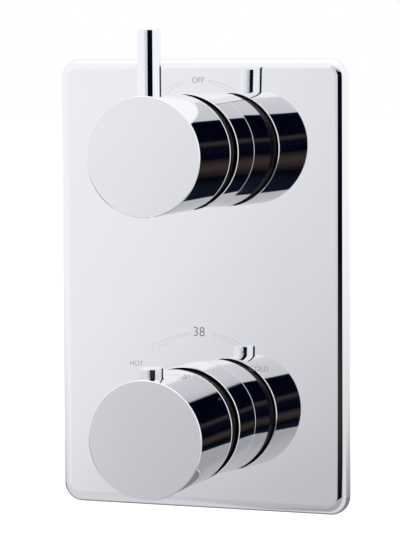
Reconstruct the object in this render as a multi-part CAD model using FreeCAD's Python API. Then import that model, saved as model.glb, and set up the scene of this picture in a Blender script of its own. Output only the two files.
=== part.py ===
import FreeCAD, Part
import math
import os

from FreeCAD import Vector

os.makedirs("parts", exist_ok=True)

# Concealed thermostatic shower valve with a flow handle above and a temperature handle below.
# Millimetres. X is to the right, Y goes into the wall and Z is up.
# The origin lies on the finished wall face, behind the centre of the face plate.

# ---------------------------------------------------------------- driving dimensions

# Face plate and its gasket
PLATE_W = 134.5
PLATE_H = 200.0
PLATE_DEPTH = 5.8
PLATE_SHEET = 2.0
PLATE_CORNER_R = 8.5
PLATE_EDGE_R = 2.8
GASKET_PROUD = 0.3
GASKET_W = 8.0
AXIS_SPACING = 119.0

# Handles, as seen
HANDLE_D = 51.0
HANDLE_LEN = 38.3
HANDLE_CHAMFER = 0.4
RIM_CHAMFER = 0.3
END_BAND = 1.2
END_NOTCH = 0.25
NECK_STEP = 1.3
NECK_WALL = 2.7
GROOVE_W = 9.8
HEAD_T = 16.5

# Lever of the flow handle
LEVER_D = 10.2
LEVER_PROUD = 28.0
LEVER_SETBACK = 8.4
LEVER_SUNK = 5.5
LEVER_CHAMFER = 0.6
STUD_D = 6.0
STUD_LEN = 9.0

# Safety stop button of the temperature handle
BUTTON_D = 9.8
BUTTON_PROUD = 4.2
BUTTON_EDGE_R = 0.45
BUTTON_SETBACK = 8.8
BUTTON_TRAVEL = 3.0
BUTTON_POCKET_D = 6.0
BUTTON_POCKET_DEPTH = 8.0
CATCH_W = 5.0
CATCH_T = 3.0
CATCH_PIN_D = 3.0

# Fixed sleeves between the handles and the plate
SLEEVE_LEN = 20.9
SLEEVE_WALL = 2.2
SLEEVE_LIP = 4.5

# Cast body
COLLAR_WALL = 2.1
COLLAR_PROUD = 9.5
TOWER_WALL = 4.5
TOWER_FRONT = 8.0
BODY_REAR = 66.0
REAR_WALL = 4.0
CHAMBER_R = 17.0
THREAD_STEP = 0.4
THREAD_END = 2.0
ANNULUS_DEPTH = 2.5
ANNULUS_W = 7.5
PORT_Y = 32.0
PORT_SHIFT = 7.5
PORT_HOLE_R = 3.0
ARM_R = 13.5
ARM_ROOT_R = 16.5
ARM_PROUD = 8.0
ARM_BORE_R = 8.5
SOCKET_DEPTH = 10.0
WATERWAY_R = 5.0
WATERWAY_WALL = 4.0
FLANGE_W = 84.0
FLANGE_H = 54.0
FLANGE_T = 5.0
FLANGE_CORNER_R = 6.0
FIXING_X = 66.0
FIXING_Z = 36.0
FIXING_R = 2.75
FIXING_BOSS_R = 6.0
FIXING_BOSS_T = 1.5
RIB_T = 5.0

# Unions with a G 1/2 female thread
UNION_SPIGOT_R = 10.0
UNION_BARREL_R = 12.6
UNION_HEX = 27.0
UNION_HEX_T = 5.0
UNION_PROUD = 18.0
UNION_PORT_R = 9.32
UNION_PORT_LEN = 13.0
UNION_BORE_R = 7.9
WASHER_T = 1.5

# Cartridges
BARREL_WALL = 3.2
BARREL_END = 50.5
BARREL_FLANGE_T = 4.0
O_RING_SECTION_R = 1.0
O_RING_GROOVE_W = 2.6
O_RING_SPREAD = 15.2
GLAND_HEX_T = 5.0
GLAND_FACE_T = 7.0
NOSE_R = 10.0
STOP_NOSE_LEN = 15.0
FLOW_NOSE_LEN = 9.0
SHAFT_R = 4.8
SPLINE_DEPTH = 0.6
SPLINE_TEETH = 20
SPLINE_LEN = 14.0
DRUM_END = 6.0

# Thermostatic movement
DRUM_THREAD_R = 8.3
NUT_FLANGE_T = 3.0
NUT_KEY_W = 3.0
CUP_R = 6.0
CUP_T = 2.0
OVERLOAD_LEN = 7.5
WAX_R = 5.2
WAX_LEN = 24.0
WAX_PISTON_R = 1.6
WAX_PISTON_LEN = 6.0
WAX_TAIL_R = 3.4
WAX_TAIL_LEN = 11.0
SEAT_T = 2.2
SEAT_LIP = 2.5
SHUTTLE_GAP = 1.2
SHUTTLE_LEN = 18.0
SHUTTLE_WALL = 2.0
SHUTTLE_WEB_T = 3.0
HUB_WALL = 1.8

# Ceramic discs of the flow cartridge
DISC_T = 6.0
DISC_GAP = 0.2
DISC_PORT_AT = 9.0
DISC_PORT_R = 3.2
DISC_SEAL_T = 1.0
DOG_W = 4.0
DOG_LEN = 3.0
DOG_INNER = 5.0
DOG_OUTER = 9.5

# Splined adapters between spindle and handle
ADAPTER_HUB_R = 9.0
ADAPTER_WEB = 2.0
ADAPTER_FLANGE_T = 9.5
ADAPTER_LEN = 18.9
GRUB_D = 5.0
GRUB_HEX = 2.5
GRUB_SETBACK = 4.8
SCREW_HEAD_R = 3.6
SCREW_HEAD_T = 2.4
SCREW_SHANK_R = 1.6
SCREW_LEN = 10.0

# Stop ring on the thermostatic cartridge's nose
STOP_RING_T = 4.0
STOP_RING_GAP = 1.2
STOP_LUG_T = 2.9
STOP_LUG_LEN = 4.0
STOP_LUG_W = 6.0
CATCH_GAP = 0.4
CLIP_T = 1.0
CLIP_WALL = 0.8

# Check valves and strainers in the inlet unions
CHECK_LEN = 12.0
CHECK_WALL = 1.4
CHECK_SEAT_T = 2.5
CHECK_STEM_R = 1.2
CHECK_TRAVEL = 2.5
CHECK_GUIDE = 1.7
POPPET_T = 2.0
SPIDER_T = 2.0
STRAINER_T = 2.5
STRAINER_WALL = 1.2
STRAINER_HOLE_R = 0.9

# Clearances
RUN_GAP = 0.3
FIT_GAP = 0.1
SHAFT_GAP = 0.15
SLIDE_GAP = 0.3

# How finely a coiled wire and a rubber ring are made
STEPS_PER_TURN = 8
WIRE_SIDES = 6
RING_SIDES = 6

# ---------------------------------------------------------------- places worked out from them

handle_r = HANDLE_D / 2
neck_r = handle_r - NECK_STEP
knob_bore_r = neck_r - NECK_WALL
axis_z = AXIS_SPACING / 2

plate_front = -(PLATE_DEPTH + GASKET_PROUD)
plate_back = plate_front + PLATE_SHEET
sleeve_front = plate_front - SLEEVE_LEN
handle_rear = sleeve_front - GROOVE_W
neck_rear = sleeve_front - RUN_GAP
handle_front = handle_rear - HANDLE_LEN
head_rear = handle_front + HEAD_T

barrel_r = CHAMBER_R - RUN_GAP
barrel_bore_r = barrel_r - BARREL_WALL
thread_r = CHAMBER_R + THREAD_STEP
collar_r = thread_r + COLLAR_WALL
tower_r = CHAMBER_R + ANNULUS_DEPTH + TOWER_WALL
arm_reach = tower_r + ARM_PROUD
union_reach = arm_reach + UNION_PROUD
gland_hex = 2 * (thread_r - 0.4)
gland_cavity_r = barrel_bore_r - 1.0
nut_flange_r = barrel_bore_r - 1.6
seat_bore_r = barrel_bore_r - SEAT_LIP
return_spring_r = seat_bore_r - 1.0
disc_r = barrel_bore_r - 0.5

collar_front = plate_front - COLLAR_PROUD
gland_front = collar_front - GLAND_HEX_T
gland_rear = THREAD_END - BARREL_FLANGE_T
drum_front = gland_front + GLAND_FACE_T + RUN_GAP
chamber_end = BODY_REAR - REAR_WALL
waterway_y = chamber_end - WATERWAY_R - 0.5

adapter_front = head_rear + 0.6
adapter_rear = adapter_front + ADAPTER_LEN
spindle_front = adapter_front + ADAPTER_WEB
shaft_bore_r = SHAFT_R + SHAFT_GAP

stop_ring_r = knob_bore_r - STOP_RING_GAP
stop_lug_r = stop_ring_r - STOP_LUG_T
button_y = handle_front + BUTTON_SETBACK
catch_high = stop_lug_r - CATCH_GAP
catch_mid = catch_high - CATCH_T / 2
catch_low = catch_high - CATCH_T
button_foot = catch_mid - 2.7
button_floor = button_foot - BUTTON_TRAVEL - 0.6

stop_ring_front = gland_front - STOP_NOSE_LEN + CLIP_T + 0.5

hot_seat_rear = PORT_Y - PORT_SHIFT - ANNULUS_W / 2 + 0.45
shuttle_front = hot_seat_rear + SHUTTLE_GAP * 2 / 3
shuttle_rear = shuttle_front + SHUTTLE_LEN
cold_seat_front = shuttle_rear + SHUTTLE_GAP
shuttle_r = barrel_bore_r - SLIDE_GAP
shuttle_web_front = (shuttle_front + shuttle_rear - SHUTTLE_WEB_T) / 2

nut_flange_front = DRUM_END + 1.2
cup_rear = nut_flange_front + 0.8
wax_front = cup_rear + WAX_PISTON_LEN
wax_rear = wax_front + WAX_LEN

# ---------------------------------------------------------------- shared operations


def bar(radius, y0, y1, x=0.0, z=0.0):
    """Round bar along Y."""
    return Part.makeCylinder(radius, y1 - y0, Vector(x, y0, z), Vector(0, 1, 0))


def ring(outer, inner, y0, y1):
    """Flat ring or tube about the Y axis."""
    return bar(outer, y0, y1).cut(bar(inner, y0, y1))


def spoke(radius, low, high, y):
    """Round bar along Z, from one height to another, at depth y."""
    return Part.makeCylinder(radius, high - low, Vector(0, y, low), Vector(0, 0, 1))


def block(x0, x1, y0, y1, z0, z1):
    """Plain block between two corners."""
    return Part.makeBox(x1 - x0, y1 - y0, z1 - z0, Vector(x0, y0, z0))


def prism(points, depth):
    """Solid from a closed outline at one depth, run along Y."""
    face = Part.Face(Part.makePolygon(points + points[:1]))
    return face.extrude(Vector(0, depth, 0))


def lathe(profile):
    """Solid of revolution about the Y axis from (y, radius) corners."""
    corners = [Vector(radius, y, 0) for y, radius in profile]
    face = Part.Face(Part.makePolygon(corners + corners[:1]))
    return face.revolve(Vector(0, 0, 0), Vector(0, 1, 0), 360)


def hexagon(across_flats, y0, y1):
    """Hexagonal bar along Y."""
    corner = across_flats / math.sqrt(3)
    angles = [math.radians(60 * i) for i in range(6)]
    points = [Vector(corner * math.cos(a), y0, corner * math.sin(a)) for a in angles]
    return prism(points, y1 - y0)


def hex_nut(across_flats, y0, y1):
    """Hexagonal bar along Y whose corners are turned off at both ends."""
    corner = across_flats / math.sqrt(3)
    flat = across_flats / 2
    slope = (corner - flat) * math.tan(math.radians(30))
    blank = lathe([(y0, 0), (y0, flat), (y0 + slope, corner), (y1 - slope, corner), (y1, flat), (y1, 0)])
    return hexagon(across_flats, y0, y1).common(blank)


def splined_bar(tip, root, y0, y1):
    """Bar along Y with evenly spaced spline teeth."""
    points = []
    for tooth in range(SPLINE_TEETH):
        for share, radius in ((0.0, root), (0.2, tip), (0.5, tip), (0.7, root)):
            angle = 2 * math.pi * (tooth + share) / SPLINE_TEETH
            points.append(Vector(radius * math.cos(angle), y0, radius * math.sin(angle)))
    return prism(points, y1 - y0)


def o_ring(mid_radius, y, section_r):
    """Rubber ring about the Y axis, with a many-sided section."""
    corners = []
    for side in range(RING_SIDES):
        around = 2 * math.pi * (side + 0.5) / RING_SIDES
        corners.append((y + section_r * math.sin(around), mid_radius + section_r * math.cos(around)))
    return lathe(corners)


def coil(mean_r, wire_r, y0, y1, turns):
    """Coiled compression spring about the Y axis, between two faces."""
    steps = int(turns * STEPS_PER_TURN)
    rise = (y1 - y0 - 2 * wire_r) / steps
    sections = []
    for step in range(steps + 1):
        angle = 2 * math.pi * step / STEPS_PER_TURN
        middle = y0 + wire_r + rise * step
        corners = []
        for side in range(WIRE_SIDES + 1):
            around = 2 * math.pi * side / WIRE_SIDES
            reach = mean_r + wire_r * math.cos(around)
            height = middle + wire_r * math.sin(around)
            corners.append(Vector(reach * math.cos(angle), height, reach * math.sin(angle)))
        sections.append(Part.makePolygon(corners))
    return Part.makeLoft(sections, True, True)


def turned(shape, degrees):
    """Copy of a shape, turned about the Y axis."""
    copy = shape.copy()
    copy.rotate(Vector(0, 0, 0), Vector(0, 1, 0), degrees)
    return copy


def pattern(shape, count, start=0.0):
    """Copies of a shape spaced evenly about the Y axis."""
    return [turned(shape, start + 360.0 * i / count) for i in range(count)]


def lifted(shape, z):
    """Copy of a shape, moved up by z."""
    copy = shape.copy()
    copy.translate(Vector(0, 0, z))
    return copy


def sideways(shape, side, z):
    """Copy of a shape built along +Y, laid along X at a port: side is -1 left or 1 right."""
    copy = shape.copy()
    copy.rotate(Vector(0, 0, 0), Vector(0, 0, 1), -90 * side)
    copy.translate(Vector(0, PORT_Y, z))
    return copy


def joined(shapes):
    """One shape fused from several, without its seams."""
    return shapes[0].multiFuse(shapes[1:]).removeSplitter()


def rounded_slab(width, height, y0, y1, corner_r):
    """Upright slab with round corners, seen from the front."""
    slab = block(-width / 2, width / 2, y0, y1, -height / 2, height / 2)
    corners = [edge for edge in slab.Edges if abs(edge.tangentAt(edge.FirstParameter).y) > 0.99]
    return slab.makeFillet(corner_r, corners)


def save(shape, node):
    """Write one named piece."""
    shape.exportStep("parts/" + node + ".step")


# ---------------------------------------------------------------- face plate, gasket and sleeves


def make_face_plate():
    """Shallow pan with a rounded front edge and a hole for each sleeve."""
    plate = rounded_slab(PLATE_W, PLATE_H, plate_front, -GASKET_PROUD, PLATE_CORNER_R)
    front = [edge for edge in plate.Edges if edge.BoundBox.YMax < plate_front + 0.01]
    plate = plate.makeFillet(PLATE_EDGE_R, front)
    pocket_r = PLATE_CORNER_R - PLATE_SHEET
    pocket = rounded_slab(PLATE_W - 2 * PLATE_SHEET, PLATE_H - 2 * PLATE_SHEET, plate_back, 0, pocket_r)
    hole = bar(sleeve_spigot_r + FIT_GAP, plate_front - 1, 0)
    return plate.cut([pocket, lifted(hole, axis_z), lifted(hole, -axis_z)])


def make_wall_gasket():
    """Rubber frame inside the plate's rim, standing just proud of it on the wall side."""
    inset = PLATE_SHEET + FIT_GAP
    width = PLATE_W - 2 * inset
    height = PLATE_H - 2 * inset
    outer = rounded_slab(width, height, plate_back, 0, PLATE_CORNER_R - inset)
    inner = block(-width / 2 + GASKET_W, width / 2 - GASKET_W, plate_back, 0,
                  -height / 2 + GASKET_W, height / 2 - GASKET_W)
    return outer.cut(inner)


sleeve_thread_r = collar_r + SHAFT_GAP
sleeve_spigot_r = sleeve_thread_r + 1.2
sleeve_bore_r = handle_r - SLEEVE_WALL
sleeve_seal_r = (sleeve_spigot_r + handle_r) / 2


def make_sleeve():
    """Tube of the handle's diameter, screwed on the body's collar and clamping the plate."""
    body = lathe([
        (sleeve_front, sleeve_bore_r),
        (sleeve_front, handle_r - RIM_CHAMFER),
        (sleeve_front + RIM_CHAMFER, handle_r),
        (plate_front - RIM_CHAMFER, handle_r),
        (plate_front, handle_r - RIM_CHAMFER),
        (plate_front, sleeve_spigot_r),
        (plate_back, sleeve_spigot_r),
        (plate_back, sleeve_thread_r),
        (plate_front - SLEEVE_LIP, sleeve_thread_r),
        (plate_front - SLEEVE_LIP - 1.5, sleeve_bore_r),
    ])
    groove = ring(sleeve_seal_r + O_RING_SECTION_R, sleeve_seal_r - O_RING_SECTION_R,
                  plate_front - 1.8 * O_RING_SECTION_R, plate_front)
    return body.cut(groove)


def make_sleeve_seal():
    """Flat-sided rubber ring in the groove of a sleeve's foot."""
    half = O_RING_SECTION_R - FIT_GAP
    return ring(sleeve_seal_r + half, sleeve_seal_r - half,
                plate_front - 1.8 * O_RING_SECTION_R, plate_front)


# ---------------------------------------------------------------- cast body and unions


def cavity():
    """Everything cut from one tower to take a cartridge."""
    thread = bar(thread_r, collar_front, THREAD_END)
    chamber = bar(CHAMBER_R, THREAD_END, chamber_end)
    rings = []
    for side in (-1, 1):
        middle = PORT_Y + side * PORT_SHIFT
        rings.append(bar(CHAMBER_R + ANNULUS_DEPTH, middle - ANNULUS_W / 2, middle + ANNULUS_W / 2))
    return [thread, chamber] + rings


def make_valve_body():
    """Brass casting: two cartridge towers, four arms, a waterway and a rear fixing flange."""
    adds = [rounded_slab(FLANGE_W, FLANGE_H, BODY_REAR - FLANGE_T, BODY_REAR, FLANGE_CORNER_R)]
    cuts = []
    adds.append(spoke(WATERWAY_R + WATERWAY_WALL, -axis_z, axis_z, waterway_y))
    cuts.append(spoke(WATERWAY_R, -axis_z, axis_z, waterway_y))
    adds.append(block(-RIB_T / 2, RIB_T / 2, PORT_Y, BODY_REAR, -axis_z, axis_z))
    socket_end = arm_reach - SOCKET_DEPTH
    for z in (-axis_z, axis_z):
        tower = lathe([
            (collar_front, 0),
            (collar_front, collar_r - 0.8),
            (collar_front + 0.8, collar_r),
            (TOWER_FRONT, collar_r),
            (TOWER_FRONT, tower_r - 2),
            (TOWER_FRONT + 2, tower_r),
            (BODY_REAR - 2, tower_r),
            (BODY_REAR, tower_r - 2),
            (BODY_REAR, 0),
        ])
        adds.append(lifted(tower, z))
        cuts.extend(lifted(piece, z) for piece in cavity())
        for side in (-1, 1):
            arm = lathe([
                (0, 0),
                (0, ARM_ROOT_R),
                (tower_r, ARM_ROOT_R),
                (tower_r + 0.9, (2 * ARM_R + ARM_ROOT_R) / 3),
                (tower_r + 3, ARM_R),
                (arm_reach - 1, ARM_R),
                (arm_reach, ARM_R - 1),
                (arm_reach, 0),
            ])
            adds.append(sideways(arm, side, z))
            socket = bar(UNION_SPIGOT_R + FIT_GAP, socket_end, arm_reach)
            cuts.append(sideways(socket, side, z))
            way = bar(ARM_BORE_R, CHAMBER_R + ANNULUS_DEPTH + 2, socket_end)
            if socket_end > CHAMBER_R + ANNULUS_DEPTH + 2:
                cuts.append(sideways(way, side, z))
            hole = bar(PORT_HOLE_R, 0, socket_end)
            hole = sideways(hole, side, z)
            hole.translate(Vector(0, side * PORT_SHIFT, 0))
            cuts.append(hole)
    boss_front = BODY_REAR - FLANGE_T - FIXING_BOSS_T
    for x in (-FIXING_X / 2, FIXING_X / 2):
        for z in (-FIXING_Z / 2, FIXING_Z / 2):
            adds.append(bar(FIXING_BOSS_R, boss_front, BODY_REAR, x, z))
            cuts.append(bar(FIXING_R, boss_front, BODY_REAR, x, z))
    return joined(adds).cut(cuts)


union_hex_start = arm_reach + WASHER_T
union_port_floor = union_reach - UNION_PORT_LEN


def make_union():
    """Turned union, built along +Y from the cartridge axis outwards."""
    blank = lathe([
        (arm_reach - SOCKET_DEPTH, UNION_BORE_R),
        (arm_reach - SOCKET_DEPTH, UNION_SPIGOT_R),
        (union_hex_start, UNION_SPIGOT_R),
        (union_hex_start, UNION_BARREL_R),
        (union_reach - 0.6, UNION_BARREL_R),
        (union_reach, UNION_BARREL_R - 0.6),
        (union_reach, UNION_PORT_R),
        (union_port_floor, UNION_PORT_R),
        (union_port_floor, UNION_BORE_R),
    ])
    nut = hex_nut(UNION_HEX, union_hex_start, union_hex_start + UNION_HEX_T)
    nut = nut.cut(bar(UNION_BARREL_R - 1, union_hex_start, union_hex_start + UNION_HEX_T))
    return joined([blank, nut])


def make_washer():
    """Fibre washer between a union's hexagon and the arm."""
    return ring(ARM_R - 0.5, UNION_SPIGOT_R + FIT_GAP, arm_reach, union_hex_start)


# ---------------------------------------------------------------- check valve and strainer

check_start = union_port_floor - STRAINER_T - CHECK_LEN
check_seat_y = check_start + CHECK_LEN - CHECK_SEAT_T
check_r = UNION_BORE_R - FIT_GAP
poppet_r = check_r - CHECK_WALL - 1.2
check_seat_r = poppet_r - 1.0


def make_check_housing():
    """Tube with a seat towards the supply and a three-legged guide behind it."""
    tube = ring(check_r, check_r - CHECK_WALL, check_start, check_seat_y)
    seat = ring(check_r, check_seat_r, check_seat_y, check_seat_y + CHECK_SEAT_T)
    guide_end = check_start + CHECK_TRAVEL + CHECK_GUIDE
    guide = ring(CHECK_STEM_R + SHAFT_GAP + 1.2, CHECK_STEM_R + SHAFT_GAP, check_start, guide_end)
    reach = check_r - CHECK_WALL / 2
    leg = block(-0.8, 0.8, check_start, check_start + SPIDER_T, CHECK_STEM_R + SHAFT_GAP + 0.5, reach)
    return joined([tube, seat, guide] + pattern(leg, 3))


def make_poppet():
    """Disc that closes on the seat, on a stem that slides in the guide."""
    top = check_seat_y - 0.05
    return lathe([
        (top, 0),
        (top, poppet_r - 0.8),
        (top - 0.8, poppet_r),
        (top - POPPET_T, poppet_r),
        (top - POPPET_T, CHECK_STEM_R),
        (check_start + CHECK_TRAVEL, CHECK_STEM_R),
        (check_start + CHECK_TRAVEL, 0),
    ])


def make_check_spring():
    """Light spring between the guide and the poppet."""
    return coil(poppet_r - 1.6, 0.35, check_start + SPIDER_T, check_seat_y - 0.05 - POPPET_T, 3)


def make_strainer():
    """Perforated cup that keeps grit out of the cartridge."""
    start = union_port_floor - STRAINER_T
    rim = ring(check_r, check_r - STRAINER_WALL, start, union_port_floor)
    sieve = bar(check_r, start, start + 0.8)
    holes = []
    pitch = (check_r - STRAINER_WALL - STRAINER_HOLE_R - 0.1) / 2
    for row in (1, 2):
        hole = lifted(hexagon(2 * STRAINER_HOLE_R, start, start + 0.8), row * pitch)
        holes.extend(pattern(hole, 6 * row))
    return joined([rim, sieve.cut(holes)])


# ---------------------------------------------------------------- parts that both cartridges share


def o_ring_places():
    """Depths of the three O-rings that part the two annuli."""
    return [PORT_Y - O_RING_SPREAD, PORT_Y, PORT_Y + O_RING_SPREAD]


o_ring_floor = CHAMBER_R - FIT_GAP - 2 * O_RING_SECTION_R


def make_cartridge_blank():
    """Outer form of a cartridge housing: flange, barrel and three O-ring grooves."""
    barrel = bar(barrel_r, gland_rear, BARREL_END)
    flange = bar(thread_r - FIT_GAP, gland_rear, THREAD_END)
    grooves = []
    for y in o_ring_places():
        grooves.append(ring(barrel_r + 1, o_ring_floor, y - O_RING_GROOVE_W / 2, y + O_RING_GROOVE_W / 2))
    return joined([barrel, flange]).cut(grooves)


def make_o_rings():
    """The three O-rings of one cartridge."""
    middle = o_ring_floor + O_RING_SECTION_R
    section = O_RING_SECTION_R - FIT_GAP / 2
    return Part.makeCompound([o_ring(middle, y, section) for y in o_ring_places()])


def shaft_seal_places(nose_len):
    """Depths of the two seals on a spindle."""
    front = gland_front - nose_len
    return [front + 4.0, front + 8.0]


def make_gland_nut(nose_len):
    """Nut that holds a cartridge in its tower: thread, hexagon and a nose round the spindle."""
    front = gland_front - nose_len
    thread = bar(thread_r - FIT_GAP, collar_front, gland_rear)
    nut = hex_nut(gland_hex, gland_front, collar_front)
    nose = lathe([
        (front, 0),
        (front, NOSE_R - 0.5),
        (front + 0.5, NOSE_R),
        (gland_front, NOSE_R),
        (gland_front, 0),
    ])
    shaft_bore = bar(shaft_bore_r, front, gland_rear)
    drum_cavity = bar(gland_cavity_r, gland_front + GLAND_FACE_T, gland_rear)
    return joined([thread, nut, nose]).cut([shaft_bore, drum_cavity])


def make_shaft(nose_len):
    """Shaft of a spindle with its front spline, seal grooves and screw hole, up to the drum."""
    spline_end = spindle_front + SPLINE_LEN
    spline = splined_bar(SHAFT_R, SHAFT_R - SPLINE_DEPTH, spindle_front, spline_end)
    shaft = bar(SHAFT_R, spline_end, drum_front)
    cuts = [bar(SCREW_SHANK_R + FIT_GAP, spindle_front, spindle_front + SCREW_LEN)]
    for y in shaft_seal_places(nose_len):
        cuts.append(ring(SHAFT_R + 1, SHAFT_R - 1.0, y - 0.8, y + 0.8))
    return joined([spline, shaft]).cut(cuts)


def make_shaft_seals(nose_len):
    """Two small O-rings on a spindle."""
    middle = SHAFT_R - 0.45
    rings = [o_ring(middle, y, 0.5) for y in shaft_seal_places(nose_len)]
    return Part.makeCompound(rings)


# ---------------------------------------------------------------- thermostatic cartridge


def make_thermostat_housing():
    """Housing with the hot seat inside, windows to both annuli and keyways for the nut."""
    blank = make_cartridge_blank()
    seat_front = hot_seat_rear - SEAT_T
    cuts = [
        bar(barrel_bore_r, gland_rear, seat_front),
        bar(seat_bore_r, seat_front, hot_seat_rear),
        bar(barrel_bore_r, hot_seat_rear, BARREL_END),
    ]
    window = block(-4.2, 4.2, hot_seat_rear, hot_seat_rear + 3.5, barrel_bore_r - 2, barrel_r + 1)
    cuts.extend(pattern(window, 6))
    window = block(-4.2, 4.2, cold_seat_front - 3.0, cold_seat_front + 0.6, barrel_bore_r - 2, barrel_r + 1)
    cuts.extend(pattern(window, 6, 30))
    key_half = NUT_KEY_W / 2 + SLIDE_GAP
    keyway = block(-key_half, key_half, gland_rear, seat_front - 2, 0, barrel_bore_r + 1.4)
    cuts.extend(pattern(keyway, 2))
    return blank.cut(cuts)


def make_thermostat_seat():
    """Screwed-in rear end: cold seat, spring floor and a guide for the wax element's tail."""
    outer = barrel_bore_r - FIT_GAP
    floor_front = BARREL_END - 2.5
    wall = ring(outer, seat_bore_r + 0.5, cold_seat_front, BARREL_END)
    floor = bar(outer - 0.5, floor_front, BARREL_END)
    boss = bar(5.5, floor_front - 3.5, BARREL_END)
    cuts = [bar(WAX_TAIL_R + SLIDE_GAP, floor_front - 4, BARREL_END)]
    cuts.extend(pattern(bar(1.4, floor_front, BARREL_END, 0, 7.4), 6))
    return joined([wall, floor, boss]).cut(cuts)


def make_temperature_spindle():
    """Spindle whose drum carries the regulating thread."""
    drum = ring(gland_cavity_r - SLIDE_GAP, DRUM_THREAD_R, drum_front + 4.5, DRUM_END)
    face = bar(gland_cavity_r - SLIDE_GAP, drum_front, drum_front + 4.5)
    return joined([make_shaft(STOP_NOSE_LEN), face, drum])


def make_regulating_nut():
    """Keyed nut that the drum screws in and out, with a pocket for the overload spring."""
    screw_r = DRUM_THREAD_R - 0.2
    flange_end = nut_flange_front + NUT_FLANGE_T
    pocket_floor = cup_rear - CUP_T - OVERLOAD_LEN
    body = bar(screw_r, pocket_floor - 2.5, nut_flange_front)
    flange = bar(nut_flange_r, nut_flange_front, flange_end)
    key_half = NUT_KEY_W / 2
    keys = block(-key_half, key_half, nut_flange_front, flange_end,
                 -(barrel_bore_r + 1.0), barrel_bore_r + 1.0)
    return joined([body, flange, keys]).cut(bar(CUP_R + FIT_GAP, pocket_floor, flange_end))


def make_overload_spring():
    """Stiff spring that gives way if the wax element grows against a closed seat."""
    end = cup_rear - CUP_T
    return coil(4.9, 0.6, end - OVERLOAD_LEN, end, 4)


def make_overload_cup():
    """Cap between the overload spring and the wax element's piston."""
    return bar(CUP_R, cup_rear - CUP_T, cup_rear)


def make_wax_element():
    """Wax capsule with its piston in front and its guide tail behind."""
    shoulder = shuttle_front - 0.5
    return lathe([
        (cup_rear, 0),
        (cup_rear, WAX_PISTON_R),
        (wax_front, WAX_PISTON_R),
        (wax_front + 1, WAX_R),
        (shoulder - 2.5, WAX_R),
        (shoulder - 2.5, WAX_R + HUB_WALL),
        (shoulder, WAX_R + HUB_WALL),
        (shoulder, WAX_R),
        (wax_rear - 1, WAX_R),
        (wax_rear, WAX_TAIL_R),
        (wax_rear + WAX_TAIL_LEN, WAX_TAIL_R),
        (wax_rear + WAX_TAIL_LEN, 0),
    ])


def make_shuttle():
    """Sleeve valve that opens one seat as it closes the other."""
    rim = ring(shuttle_r, shuttle_r - SHUTTLE_WALL, shuttle_front, shuttle_rear)
    web_end = shuttle_web_front + SHUTTLE_WEB_T
    web = bar(shuttle_r - SHUTTLE_WALL / 2, shuttle_web_front, web_end)
    hub_r = WAX_R + FIT_GAP + HUB_WALL
    hub = bar(hub_r, shuttle_front - 0.5, web_end + 4)
    cuts = [bar(WAX_R + FIT_GAP, shuttle_front - 0.5, web_end + 4)]
    hole_circle = (hub_r + shuttle_r - SHUTTLE_WALL) / 2
    cuts.extend(pattern(bar(1.2, shuttle_web_front, web_end, 0, hole_circle), 8))
    groove_y = shuttle_web_front + SHUTTLE_WEB_T / 2
    cuts.append(ring(shuttle_r + 1, shuttle_r - 1.2, groove_y - 0.8, groove_y + 0.8))
    return joined([rim, web, hub]).cut(cuts)


def make_shuttle_seal():
    """O-ring that keeps hot and cold apart at the shuttle."""
    groove_y = shuttle_web_front + SHUTTLE_WEB_T / 2
    return o_ring(shuttle_r - 0.6, groove_y, 0.55)


def make_return_spring():
    """Spring that pushes the shuttle back against the regulating nut."""
    return coil(return_spring_r, 0.6, shuttle_web_front + SHUTTLE_WEB_T, BARREL_END - 2.5, 4)


def make_stop_ring():
    """Ring splined on the gland nose, with the lug that marks the safe temperature."""
    plate = ring(stop_ring_r, NOSE_R + FIT_GAP, stop_ring_front, stop_ring_front + STOP_RING_T)
    lug_half = STOP_LUG_W / 2
    lug_front = stop_ring_front - STOP_LUG_LEN
    lug = block(-lug_half, lug_half, lug_front, stop_ring_front, 0, stop_ring_r)
    lug = lug.common(ring(stop_ring_r, stop_lug_r, lug_front, stop_ring_front))
    return joined([plate, lug])


def make_stop_ring_clip():
    """Circlip in front of the stop ring."""
    clip = ring(NOSE_R + CLIP_WALL, NOSE_R + FIT_GAP, stop_ring_front - CLIP_T, stop_ring_front)
    return clip.cut(block(-2, 2, stop_ring_front - CLIP_T, stop_ring_front, -NOSE_R - 2, 0))


# ---------------------------------------------------------------- flow and diverter cartridge

moving_disc_front = DRUM_END + DISC_GAP
fixed_disc_front = moving_disc_front + DISC_T + DISC_GAP
disc_seal_front = fixed_disc_front + DISC_T
disc_floor = disc_seal_front + DISC_SEAL_T


def disc_ports(y0, y1):
    """Centre inlet and the two side outlets, as seen in the fixed disc and its seal."""
    centre = bar(DISC_PORT_R, y0, y1)
    sides = [bar(DISC_PORT_R, y0, y1, x) for x in (-DISC_PORT_AT, DISC_PORT_AT)]
    return [centre] + sides


def dog(y0, y1, gap):
    """One driving dog, grown by a gap for its slot."""
    half = DOG_W / 2 + gap
    return block(-half, half, y0, y1, DOG_INNER - gap, DOG_OUTER + gap)


def make_flow_spindle():
    """Spindle whose driver turns the moving disc by two dogs."""
    driver = bar(gland_cavity_r - SLIDE_GAP, drum_front, DRUM_END)
    dogs = pattern(dog(DRUM_END, DRUM_END + DOG_LEN, 0), 2)
    return joined([make_shaft(FLOW_NOSE_LEN), driver] + dogs)


def make_moving_disc():
    """Ceramic disc with a channel in its rear face from the centre to the rim side."""
    end = moving_disc_front + DISC_T
    disc = bar(disc_r, moving_disc_front, end)
    slots = pattern(dog(moving_disc_front, DRUM_END + DOG_LEN + DISC_GAP, SHAFT_GAP), 2)
    channel = block(-DISC_PORT_R, DISC_PORT_R, end - 2.5, end, -DISC_PORT_AT, 0)
    ends = [bar(DISC_PORT_R, end - 2.5, end), bar(DISC_PORT_R, end - 2.5, end, 0, -DISC_PORT_AT)]
    return disc.cut(slots + [channel] + ends)


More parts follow.
